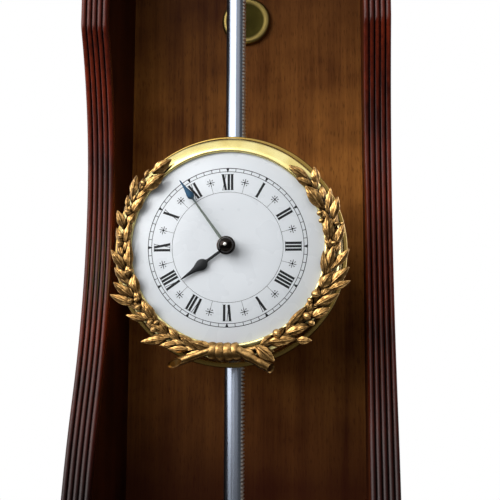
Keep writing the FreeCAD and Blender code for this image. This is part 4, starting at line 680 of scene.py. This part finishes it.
# the gold is palest where the high edges are rubbed, partly wear and partly a painted highlight, and its
# toning is uneven
pointed = add_node(tree, "NewGeometry", give="Pointiness")
rubbed_and_highlit = add_node(tree, "MapRange", {"Value": pointed, "From Min": 0.44, "From Max": 0.56})
toning = add_node(tree, "TexNoise", {"Vector": place, "Scale": 1 / TONING_SPOT, "Detail": 4.0})
worn_and_highlit = add_node(tree, "Math", {0: rubbed_and_highlit, 1: toning}, operation="ADD")
worn_and_highlit = add_node(tree, "MapRange", {"Value": worn_and_highlit, "From Min": 0.65, "From Max": 1.4})
tones = {"A": linear("#96642B"), "B": linear("#F2C17A")}
gold = add_node(tree, "Mix", {"Factor": worn_and_highlit, **tones}, data_type="RGBA")
# side veins run forward from the rib, about two millimetres apart, along the leaf's own unwrapped sheet
sheet = add_node(tree, "UVMap")
across = add_node(tree, "SeparateXYZ", {"Vector": sheet}, give="X")
towards_tip = add_node(tree, "SeparateXYZ", {"Vector": sheet}, give="Y")
from_rib = add_node(tree, "Math", {0: across, 1: 0.5}, operation="SUBTRACT")
from_rib = add_node(tree, "Math", {0: from_rib}, operation="ABSOLUTE")
forward = add_node(tree, "Math", {0: towards_tip, 1: from_rib}, operation="SUBTRACT")
veins = add_node(tree, "Math", {0: forward, 1: VEINS * 2 * math.pi, 2: VEIN_PHASE}, operation="MULTIPLY_ADD")
veins = add_node(tree, "Math", {0: veins}, operation="SINE")
beside_rib = add_node(tree, "Math", {0: from_rib, 1: RIB_FOOT}, operation="SUBTRACT")
beside_rib = add_node(tree, "Math", {0: beside_rib}, operation="ABSOLUTE")
# the dark toning stays in the hollows between leaves, beside the rib, in the veins and in scattered spots
openness = add_node(tree, "AmbientOcclusion", {"Distance": HOLLOW_REACH}, give="AO", samples=8)
clean = add_node(tree, "MapRange", {"Value": openness, "From Min": 0.42, "From Max": 0.97})
for value, low, high, least in (
    (beside_rib, 0, 0.07, 0.25), (veins, -1, 0.2, 0.5), (toning, 0.36, 0.56, 0.45),
):
    share = add_node(tree, "MapRange", {"Value": value, "From Min": low, "From Max": high, "To Min": least})
    clean = add_node(tree, "Math", {0: clean, 1: share}, operation="MULTIPLY")
colour = add_node(tree, "Mix", {"Factor": clean, "A": linear("#261303"), "B": gold}, data_type="RGBA")
rough = add_node(tree, "MapRange", {"Value": clean, "To Min": 0.55, "To Max": 0.17})
chased = add_node(tree, "Math", {0: veins, 1: VEIN_HEIGHT, 2: toning}, operation="MULTIPLY_ADD")
relief = add_node(tree, "Bump", {"Height": chased, "Strength": 0.3, "Distance": 0.16 * MM})
plug(tree, shader, {"Base Color": colour, "Roughness": rough, "Normal": relief, "Metallic": 1.0})


def pick(piece, wanted):
    """In edit mode, selects the vertices whose place passes a test and nothing else."""
    bpy.ops.mesh.select_all(action="DESELECT")
    mesh = bmesh.from_edit_mesh(piece.data)
    for corner in mesh.verts:
        corner.select = wanted(corner.co)
    mesh.select_flush(True)
    bmesh.update_edit_mesh(piece.data)


# one leaf of unit length and width: columns from edge to edge with their height, and rows from stalk to tip
# with their place, width and arch
LEAF_COLUMNS = ((-1, 0), (-0.6, 0.34), (-0.14, 0.58), (0, 0.95), (0.14, 0.58), (0.6, 0.34), (1, 0))
LEAF_ROWS = (
    (0, 0.16, 0), (0.1, 0.42, 0.2), (0.24, 0.8, 0.38), (0.4, 1, 0.45), (0.56, 0.97, 0.42),
    (0.72, 0.76, 0.3), (0.85, 0.46, 0.12), (0.94, 0.2, -0.05), (1, 0.03, -0.2),
)
LEAF_THICKNESS = 0.22
RIB_CREASE = 0.75
# the share of its height that a row of no width would keep
NARROW_HEIGHT = 0.3
# a line of the grid that has been shaped waits this far up, where it isn't picked again
SET_ASIDE = 10
NEAR = 0.01


def worked(piece, kind, **settings):
    """Applies one modifier with its settings to a piece."""
    modifier = piece.modifiers.new(kind, kind)
    for name, value in settings.items():
        setattr(modifier, name, value)
    bpy.ops.object.modifier_apply(modifier=kind)


bpy.ops.mesh.primitive_grid_add(
    x_subdivisions=len(LEAF_COLUMNS) - 1, y_subdivisions=len(LEAF_ROWS) - 1, size=2, location=(0, 0, 0),
)
leaf = opened("leaf")
for column, (across, height) in enumerate(LEAF_COLUMNS):
    here = -1 + 2 * column / (len(LEAF_COLUMNS) - 1)
    pick(leaf, lambda co: abs(co.x - here) < NEAR and co.z < SET_ASIDE / 2)
    bpy.ops.transform.translate(value=(across - here, 0, height + SET_ASIDE))
bpy.ops.mesh.select_all(action="SELECT")
bpy.ops.transform.translate(value=(0, 0, -SET_ASIDE))
for row, (along, width, arch) in enumerate(LEAF_ROWS):
    here = -1 + 2 * row / (len(LEAF_ROWS) - 1)
    lower = NARROW_HEIGHT + (1 - NARROW_HEIGHT) * width
    pick(leaf, lambda co: abs(co.y - here) < NEAR and co.z < SET_ASIDE / 2)
    bpy.ops.transform.resize(value=(width, 1, lower), center_override=(0, here, 0))
    bpy.ops.transform.translate(value=(0, along - here, arch + SET_ASIDE))
bpy.ops.mesh.select_all(action="SELECT")
bpy.ops.transform.translate(value=(0, 0, -SET_ASIDE))
face_outwards()
pick(leaf, lambda co: abs(co.x) < NEAR / 10)
bpy.ops.transform.edge_crease(value=RIB_CREASE)
bpy.ops.object.mode_set(mode="OBJECT")
worked(leaf, "SOLIDIFY", thickness=LEAF_THICKNESS, offset=-1)
worked(leaf, "SUBSURF", levels=1)
bpy.ops.object.shade_smooth()

# a berry of unit radius, with its crown drawn up to a small tip
BERRY_CROWN = 0.9
BERRY_TIP, BERRY_PINCH = 0.16, 0.5
bpy.ops.mesh.primitive_uv_sphere_add(segments=16, ring_count=10, radius=1, location=(0, 0, 0))
berry = opened("berry")
pick(berry, lambda co: co.z > BERRY_CROWN)
bpy.ops.transform.translate(value=(0, 0, BERRY_TIP))
pick(berry, lambda co: co.z > 1 + BERRY_TIP / 2)
bpy.ops.transform.resize(value=(BERRY_PINCH, BERRY_PINCH, 1))
bpy.ops.object.mode_set(mode="OBJECT")
bpy.ops.object.shade_smooth()

STEM_CIRCLE, STEM_DEPTH = 55.3, -1.9
LEAF_RISE = 0.62
HALF_WIDTH = 0.56
LEAF_ROOT_DEPTH = -2.4
BERRY_DEPTH = -2.2
BERRY_LENGTH = 1.15
BERRY_TILT = math.radians(40)
# beneath the leaves that are seen whole lies a close row of pairs along each stem: an outer and an inner
# leaf, written as a leaf below is, with angles from the pair's place, and with how far its tip sways
UNDER_LEAVES, UNDER_FIRST, UNDER_STEP, UNDER_WAVE = 15, 58, 7.6, 2.3
UNDER_PAIR = (
    ((0, STEM_CIRCLE, -9, 59.4, 4.2, -1.2, 0.4), 1.0),
    ((-3, STEM_CIRCLE - 0.4, -13, 52.1, 4.0, -2.3, -0.3), 0.3),
)


def laid(root, tip, width, roll):
    """The matrix that lays the unit leaf from root to tip, facing the viewer and rolled about its rib."""
    along = tip - root
    length = along.length
    along.normalize()
    across = along.cross(Vector((0, -1, 0))).normalized()
    face = across.cross(along)
    turn = Matrix.Rotation(roll, 3, along)
    half = width * HALF_WIDTH * MM
    columns = Matrix((turn @ across * half, along * length, turn @ face * half * LEAF_RISE)).transposed()
    return Matrix.Translation(root) @ columns.to_4x4()


def laurel_parts(side, leaves, berries):
    """The leaves and berries of one branch, on the left with side -1 and on the right with side 1. A leaf is
    (angle and radius of its root, angle and radius of its tip, width, depth of its tip, roll), a berry is
    (angle, radius, its own radius), and angles are from twelve down that side."""
    parts = []
    leaves = list(leaves)
    for number in range(UNDER_LEAVES):
        angle = UNDER_FIRST + number * UNDER_STEP
        swing = math.sin(UNDER_WAVE * number + side)
        for (root_turn, root_circle, tip_turn, tip_circle, *shape), sway in UNDER_PAIR:
            tip = (angle + tip_turn, tip_circle + sway * swing)
            leaves.append((angle + root_turn, root_circle, *tip, *shape))
    for root_angle, root_circle, tip_angle, tip_circle, width, tip_depth, roll in leaves:
        root = dial_point(side * root_angle, root_circle, LEAF_ROOT_DEPTH)
        tip = dial_point(side * tip_angle, tip_circle, tip_depth)
        parts.append(own_copy(leaf, laid(root, tip, width, side * roll)))
    for angle, circle, radius in berries:
        spot = dial_point(side * angle, circle, BERRY_DEPTH - radius)
        size = Matrix.Diagonal((radius * MM, radius * MM, radius * BERRY_LENGTH * MM)).to_4x4()
        tilt = Matrix.Rotation(math.radians(side * angle), 4, "Y") @ Matrix.Rotation(BERRY_TILT, 4, "X")
        parts.append(own_copy(berry, Matrix.Translation(spot) @ tilt @ size))
    return parts


STEM_SIDES, STEM_STEPS = 12, 40
STEM_FOOT = 172
STEM_THICK, STEM_THIN = 1.4, 0.8


def curved_stem(side, end_angle):
    """A round stem that follows the bezel up from the binding and tapers to its end."""
    begin = side * STEM_FOOT
    spot = dial_point(begin, STEM_CIRCLE, STEM_DEPTH)
    stem = start_ring("stem", STEM_SIDES, STEM_THICK, spot, (0, math.radians(begin + 90), 0))
    turn = side * (end_angle - STEM_FOOT) / STEM_STEPS
    shrink = (STEM_THIN / STEM_THICK) ** (1 / STEM_STEPS)
    for step in range(STEM_STEPS):
        bpy.ops.mesh.extrude_edges_move(TRANSFORM_OT_translate={"value": (0, 0, 0)})
        bpy.ops.transform.rotate(value=-math.radians(turn), orient_axis="Y", center_override=HEAD)
        middle = dial_point(begin + turn * (step + 1), STEM_CIRCLE, STEM_DEPTH)
        bpy.ops.transform.resize(value=(shrink,) * 3, center_override=middle)
    close_ends()
    bpy.ops.object.mode_set(mode="OBJECT")
    bpy.ops.object.shade_smooth()
    return stem


left_leaves = (
    (46, 56.5, 32, 55.6, 6.2, -3.4, -0.12), (57, 54, 39.5, 51.2, 6.6, -4.6, -0.05),
    (50, 57.5, 45, 59.2, 2.8, -3.4, 0.1), (63, 56.8, 51, 62.2, 5, -3.2, 0.2),
    (69, 56.8, 62, 60.2, 2.8, -3, 0.2), (71, 54.2, 58, 51.7, 5.2, -4, -0.2),
    (80, 55, 71, 62, 5, -3.4, 0.15), (90, 54.2, 75, 53.4, 3.6, -4.4, -0.3),
    (105, 53.4, 85, 51.6, 4, -4.2, -0.3), (103, 54.6, 91, 61.6, 4.9, -4, 0.1),
    (109, 55.4, 100, 60.5, 5, -3.4, 0.25), (119, 55.8, 107, 62.8, 5.2, -3.8, 0.1),
    (123, 56.4, 112, 66.8, 5, -3.6, 0.2), (119, 53.8, 106, 50.6, 4.4, -4.2, -0.2),
    (133, 56.6, 124, 64, 3.8, -3.8, 0.5), (136, 54, 124, 51.6, 4.8, -4.2, -0.1),
    (148, 56.6, 138, 67.2, 4.6, -4, 0.2), (154, 56.2, 146, 62.6, 3.8, -3.6, 0.3),
    (161, 56.8, 150, 61.8, 4, -3.4, 0.2), (165, 55.2, 152, 52.4, 4.2, -4, -0.2),
    (147, 55.2, 134, 57.6, 3.6, -4.6, 0), (174, 54.4, 159, 53.2, 5.2, -4.2, -0.1),
    (171, 56.2, 159, 61, 4.6, -3.8, 0.2),
)
left_berries = (
    (52.5, 56, 1.55), (70.5, 55.6, 1.6), (84, 56.4, 1.45), (88, 56.4, 1.6), (104.5, 54, 1.5),
    (104, 51.9, 1.25), (119.5, 57.8, 1.6), (120.5, 54.6, 1.45), (124.5, 56, 1.75), (135, 56, 1.6),
    (137.5, 54.2, 1.4), (139, 57.4, 1.75),
)
right_leaves = (
    (164, 53.8, 157, 65.4, 6.4, -5, -0.1), (158, 54, 143, 60.8, 5.6, -4.2, 0.1),
    (144, 60.4, 138, 66.4, 4.4, -3.4, 0.2), (172, 53.8, 164.5, 62, 5.6, -3.6, 0.1),
    (147, 54.6, 134.5, 60, 5, -4.6, 0.2), (145, 53.2, 126, 52.4, 3.8, -4, -0.3),
    (131, 57.2, 121, 63, 5.4, -4, 0.3), (126, 54.8, 113, 64, 5, -4.2, 0.1),
    (114, 57, 106, 67.2, 4.4, -3.6, 0.35), (113, 56.4, 100, 65, 5.8, -4.4, 0.1),
    (115, 54, 104.5, 56.8, 5.4, -4.8, -0.2), (108, 53.8, 93, 50.4, 4, -4.2, -0.4),
    (104, 54, 90, 55.8, 4.6, -4.6, 0), (102, 57, 91.5, 64, 4.6, -3.6, 0.2),
    (88, 53.6, 73, 55, 6, -5, -0.1), (90, 56.4, 79, 62.4, 4.6, -3.4, 0.3),
    (77, 56.2, 66, 63.8, 5.2, -3.6, 0.2), (72.5, 55, 60.5, 62.6, 3.8, -3.4, 0.3),
    (70, 54, 52, 52, 6.4, -4.6, -0.1), (56, 56.8, 47.5, 62.2, 4.8, -3.2, 0.3),
    (52, 55.6, 37, 53.6, 5, -4, 0.1), (54, 54.6, 45, 50.8, 4.2, -3.6, -0.2),
)
right_berries = (
    (150, 52.8, 2.3), (132.5, 59.6, 1.7), (131.5, 55.6, 2.1), (119, 52.8, 2.1), (123.5, 52, 1.45),
    (89, 55.6, 1.35), (79, 58.4, 1.4), (79.5, 61.2, 1), (71, 51.4, 1.4), (75.5, 51, 1.3),
)
left_stem = curved_stem(-1, end_angle=46)
right_stem = curved_stem(1, end_angle=50)
left_branch = joined("laurel_left", [left_stem] + laurel_parts(-1, left_leaves, left_berries))
right_branch = joined("laurel_right", [right_stem] + laurel_parts(1, right_leaves, right_berries))
fit(left_branch, gilt, "clock_head", "gilt_brass", "wreath_left_branch")
fit(right_branch, gilt, "clock_head", "gilt_brass", "wreath_right_branch")
bpy.data.objects.remove(leaf)
bpy.data.objects.remove(berry)

# Ribbon binding and cut stems: four turns of ribbon round the crossing, and two stems that run out below.
# Cast with the wreath and gilded, the bands full and rounded, the stems cut across at their ends.

BAND_COUNT, BAND_SIDES = 4, 28
BAND_OUTLINE = ((4.2, -2.5), (4.72, -2), (5, -1.1), (5.1, 0), (5, 1.1), (4.72, 2), (4.2, 2.5))
BAND_SPACING, BAND_LEAN = 4.25, 16
BAND_CIRCLE, BAND_DEPTH = 55.2, -1.6
BAND_FLATNESS = 0.7
BAND_FULLEST, BAND_FALL = 1.02, 0.035
BINDING_MIDDLE = 181.2
CAST_EDGE = 50
band = turned("band", (0, 0, 0), BAND_OUTLINE, BAND_SIDES, axis="X", sharp=CAST_EDGE)
band.data.transform(Matrix.Diagonal((1, BAND_FLATNESS, 1, 1)))
smooth_below(CAST_EDGE)
bands = []
for number in range(BAND_COUNT):
    from_middle = number - (BAND_COUNT - 1) / 2
    clock_angle = BINDING_MIDDLE + from_middle * BAND_SPACING
    size = BAND_FULLEST - BAND_FALL * abs(from_middle)
    lean = Matrix.Rotation(math.radians(clock_angle - 180 - BAND_LEAN), 4, "Y")
    spot = Matrix.Translation(dial_point(clock_angle, BAND_CIRCLE, BAND_DEPTH))
    bands.append(own_copy(band, spot @ lean @ Matrix.Diagonal((1, size, size, 1))))
bpy.data.objects.remove(band)

CUT_SIDES = 20
CUT_RIM = 0.55 * MM
CUT_HOLLOW = 0.7 * MM


def cut_stem(start, end, rings, slant):
    """A stem end: rings of (radius, share of its length) out from the binding, sawn across at its end by a
    plane that is turned by the slant in degrees towards the viewer, with a shallow hollow in the cut."""
    along = end - start
    stem = start_ring("cut_stem", CUT_SIDES, rings[0][0], start, along.to_track_quat("Z", "Y").to_euler())
    for (radius, share), (next_radius, next_share) in zip(rings, rings[1:]):
        draw_out(along * (next_share - share), (next_radius / radius,) * 3, start + along * next_share)
    close_ends()
    lean = math.radians(slant)
    sawn = along.normalized() * math.cos(lean) + Vector((0, -1, 0)) * math.sin(lean)
    bpy.ops.mesh.bisect(plane_co=end, plane_no=sawn, use_fill=True, clear_outer=True)
    bpy.ops.mesh.inset(thickness=CUT_RIM, depth=0)
    bpy.ops.transform.translate(value=-sawn * CUT_HOLLOW)
    smooth_below(CAST_EDGE)
    return stem


LEFT_RINGS = ((2.3, 0), (2.2, 0.3), (2.25, 0.55), (2.25, 0.8), (2.1, 1), (1.9, 1.4))
RIGHT_RINGS = (
    (2.6, 0), (2.4, 0.2), (2.95, 0.34), (2.5, 0.42), (2.4, 0.6), (2.9, 0.72), (2.5, 0.8), (2.55, 1),
    (2.55, 1.2),
)
left_cut = cut_stem(dial_point(187, 54, -2.6), dial_point(203.8, 66.6, -3.4), LEFT_RINGS, slant=64)
right_cut = cut_stem(dial_point(174, 54.5, -3), dial_point(159.9, 67.6, -3.4), RIGHT_RINGS, slant=28)
# painted shade: the ribbon and the stems are toned darker than the leaves, most of all on their undersides,
# which face away from the light
bound_gilt = gilt.copy()
bound_gilt.name = "antiqued_gilt_brass_ribbon"
tree = bound_gilt.node_tree
facing = add_node(tree, "NewGeometry", give="Normal")
facing_up = add_node(tree, "SeparateXYZ", {"Vector": facing}, give="Z")
painted_underside_shade = add_node(tree, "MapRange", {
    "Value": facing_up, "From Min": 0.8, "From Max": -0.35, "To Max": 0.78,
})
tone_over(tree, painted_underside_shade, "#3A2205")
binding = joined("laurel_binding", bands + [left_cut, right_cut])
fit(binding, bound_gilt, "clock_head", "gilt_brass", "wreath_binding")

# Hands: a black hour hand with a round bulb and a fine point, and a slim blued minute hand with a spear.
# Sawn and filed from sheet steel, the hour hand blacked, the minute hand polished and blued by heat.

HAND_SHEET = 0.7
HAND_EASING = 0.18


def hand_blade(name, stations, clock_angle, front):
    """A flat hand with eased edges, from stations of (distance out, half width) in millimetres."""
    begin, half = stations[0]
    bpy.ops.mesh.primitive_plane_add(size=2, location=(0, 0, 0))
    blade = opened(name)
    pick(blade, lambda co: co.y > 0)
    bpy.ops.mesh.delete(type="VERT")
    bpy.ops.mesh.select_all(action="SELECT")
    bpy.ops.transform.resize(value=(half, 1, 1), center_override=(0, -1, 0))
    bpy.ops.transform.translate(value=(0, begin + 1, 0))
    for (along, half), (next_along, next_half) in zip(stations, stations[1:]):
        draw_out((0, next_along - along, 0), (next_half / half, 1, 1), (0, next_along, 0))
    face_outwards()
    bpy.ops.object.mode_set(mode="OBJECT")
    worked(blade, "SOLIDIFY", thickness=HAND_SHEET, offset=0)
    worked(blade, "BEVEL", width=HAND_EASING, segments=2, limit_method="ANGLE")
    middle = dial_point(0, 0, front + HAND_SHEET / 2)
    upright = Matrix.Rotation(math.pi / 2, 4, "X")
    swing = Matrix.Rotation(math.radians(clock_angle), 4, "Y")
    blade.data.transform(Matrix.Translation(middle) @ swing @ upright @ Matrix.Diagonal((MM, MM, MM, 1)))
    smooth_below(40)
    return blade


SMOKE_SPOT = 1.2 * MM
BLUE_SPOT = 2 * MM
black_steel = mottled(
    "blacked_steel", SMOKE_SPOT, 3.0, ("#0A0B0D", "#191B1E"), rough=(0.24, 0.4), rest={"Metallic": 0.6},
)
blued_steel = mottled(
    "heat_blued_steel", BLUE_SPOT, 2.0, ("#1A2F42", "#2B485E"), rough=(0.25, 0.38), rest={"Metallic": 0.9},
)
# the heat reached the spear most, so the colour runs from grey on the shank to full blue on the head
GREY_TO = 28 * MM
BLUE_FROM = 33 * MM
tree = blued_steel.node_tree
place = add_node(tree, "TexCoord", give="Object")
from_centre = add_node(tree, "VectorMath", {0: place, 1: HEAD}, operation="DISTANCE")
cool = add_node(tree, "MapRange", {"Value": from_centre, "From Min": BLUE_FROM, "From Max": GREY_TO})
tone_over(tree, cool, "#5E655F")

HOUR_STATIONS = (
    (-3.4, 1), (-2.6, 2.4), (-1.4, 3.2), (0, 3.45), (1.4, 3.2), (2.6, 2.4), (3.4, 1.1), (4.6, 0.72),
    (12.6, 0.72), (13.3, 1.1), (13.9, 1.95), (14.8, 2.6), (16, 2.95), (17.2, 2.9), (18.4, 2.5),
    (19.6, 1.95), (21, 1.4), (23, 1), (26, 0.65), (28.5, 0.38), (30, 0.08),
)
MINUTE_STATIONS = (
    (-3.2, 0.9), (-2.2, 2.2), (0, 3.1), (2.2, 2.2), (3.2, 1), (5, 0.78), (30.4, 0.45), (31, 0.8),
    (31.6, 1.5), (32.6, 1.9), (34, 1.8), (35.8, 1.3), (38, 0.8), (40.4, 0.5), (42.4, 0.35), (43.1, 0.2),
)
hour_hand = hand_blade("hour_hand_blade", HOUR_STATIONS, clock_angle=234.4, front=-2.2)
fit(hour_hand, black_steel, "hour", "black_steel", "hour_hand")
minute_hand = hand_blade("minute_hand_blade", MINUTE_STATIONS, clock_angle=324.5, front=-5.4)
fit(minute_hand, blued_steel, "centre", "blued_steel", "minute_hand")

# Hand boss: the domed nut that holds both hands on the centre arbor.
# Turned steel, blacked and polished, with a stepped foot, and the tip of the arbor at its middle painted
# pale as a painted highlight.

BOSS_OUTLINE = (
    (4.7, -5.42), (4.9, -5.6), (4.9, -6.5), (4.75, -6.85), (4.4, -7), (4.15, -7.05), (4.1, -7.6),
    (3.85, -8.4), (3.4, -9.3), (2.7, -10.1), (1.9, -10.7), (1.15, -10.95), (0.6, -11.05), (0.3, -11.06),
)
TIP_OUTLINE = ((0.9, -10.9), (0.9, -11.1), (0.82, -11.3), (0.6, -11.44), (0.3, -11.5), (0.1, -11.5))
BOSS_GRAIN = 1.5 * MM
polished_black = grained_metal("polished_black_steel", ("#2E2724", "#1D1917"), dull=0.16, grain=BOSS_GRAIN)
# painted highlight: the arbor tip is given a near-white steel that stands in for a glint
tip_highlight_steel = grained_metal("painted_highlight_steel_tip", ("#F2EFE8", "#E2DFD8"), dull=0.42)
hand_boss = turned("hand_dome", HEAD, BOSS_OUTLINE, sides=64)
fit(hand_boss, polished_black, "centre", "blued_steel", "hand_boss")
arbor_tip = turned("arbor_tip", HEAD, TIP_OUTLINE, sides=32)
fit(arbor_tip, tip_highlight_steel, "centre", "polished_steel")

# Studio: a pale floor under the plinth, two large soft windows to the left, a third behind on the right,
# a broad soft fill in front, and a white backdrop.
# The camera stands a little below and to the right of the dial, as the photograph was taken.

FLOOR_PLACE = (0, 0.25, cad_low.z)
FLOOR_RADIUS = 0.55
FLOOR_SPOT = 40 * MM
bpy.ops.mesh.primitive_circle_add(vertices=96, radius=FLOOR_RADIUS, fill_type="NGON", location=FLOOR_PLACE)
floor = bpy.context.object
floor.name = "studio_floor"
floor_paint = mottled("pale_floor_paint", FLOOR_SPOT, 2.0, ("#E6E6E4", "#EEEEED"), rest={"Roughness": 0.7})
floor.data.materials.append(floor_paint)

scene = bpy.context.scene
# each lamp's place, width and height in metres, and its power in watts
LAMPS = {
    "window_left": ((-1.45, -0.85, 0.42), 1.6, 1.6, 20),
    "window_front": ((-1.05, -1.7, 0.66), 1.6, 1.6, 25),
    "soft_fill": ((0.1, -2.2, 0.55), 2.4, 2.0, 11),
    "window_right": ((1.5, 0.75, 0.4), 1.4, 1.6, 16),
}
for name, (place, width, height, watts) in LAMPS.items():
    lamp = bpy.data.lights.new(name, "AREA")
    lamp.shape = "RECTANGLE"
    lamp.size = width
    lamp.size_y = height
    lamp.energy = watts
    holder = bpy.data.objects.new(name, lamp)
    scene.collection.objects.link(holder)
    holder.location = place
    holder.rotation_euler = (HEAD - Vector(place)).to_track_quat("-Z", "Y").to_euler()

# the camera sees white all round, and the metal reflects a white backdrop and ceiling in a dim room
CEILING_WAY = (-0.4, 0.2, 0.87)
BACKDROP_WAY = (0.0, 1.0, 0.0)
ROOM_LEVEL = 0.12
world = bpy.data.worlds.new("white_studio")
scene.world = world
world.use_nodes = True
tree = world.node_tree
tree.nodes.clear()
camera_ray = add_node(tree, "LightPath", give="Is Camera Ray")
seen = camera_ray
for kind in ("Is Glossy Ray", "Is Transmission Ray"):
    ray = add_node(tree, "LightPath", give=kind)
    seen = add_node(tree, "Math", {0: seen, 1: ray}, operation="MAXIMUM")
direction = add_node(tree, "TexCoord", give="Generated")
ceiling = add_node(tree, "VectorMath", {0: direction, 1: CEILING_WAY}, operation="DOT_PRODUCT")
level = add_node(tree, "MapRange", {"Value": ceiling, "From Min": 0.12, "From Max": 0.34, "To Min": 0.14})
behind = add_node(tree, "VectorMath", {0: direction, 1: BACKDROP_WAY}, operation="DOT_PRODUCT")
behind = add_node(tree, "MapRange", {"Value": behind, "From Min": 0.1, "From Max": 0.6})
for other in (behind, camera_ray):
    level = add_node(tree, "Math", {0: level, 1: other}, operation="MAXIMUM")
backdrop = add_node(tree, "Background", {"Color": linear("#FFFFFF"), "Strength": level})
room = add_node(tree, "Background", {"Color": linear("#F4F6FA"), "Strength": ROOM_LEVEL})
mixed = add_node(tree, "MixShader", {0: seen, 1: room, 2: backdrop})
add_node(tree, "OutputWorld", {"Surface": mixed})

CAMERA_PLACE = Vector((58.82, -613.72, -234.56)) * MM
CAMERA_YAW, CAMERA_PITCH, CAMERA_ROLL = (math.radians(a) for a in (5.334, 7.997, 0.179))
camera = bpy.data.objects.new("camera", bpy.data.cameras.new("camera"))
scene.collection.objects.link(camera)
camera.data.lens = 69.84
camera.data.sensor_width = 36
camera.data.clip_start = 0.01
aim = Matrix.Rotation(CAMERA_YAW, 4, "Z") @ Matrix.Rotation(math.pi / 2 + CAMERA_PITCH, 4, "X")
camera.matrix_world = Matrix.Translation(CAMERA_PLACE) @ aim @ Matrix.Rotation(CAMERA_ROLL, 4, "Z")
scene.camera = camera
scene.view_settings.view_transform = "Standard"
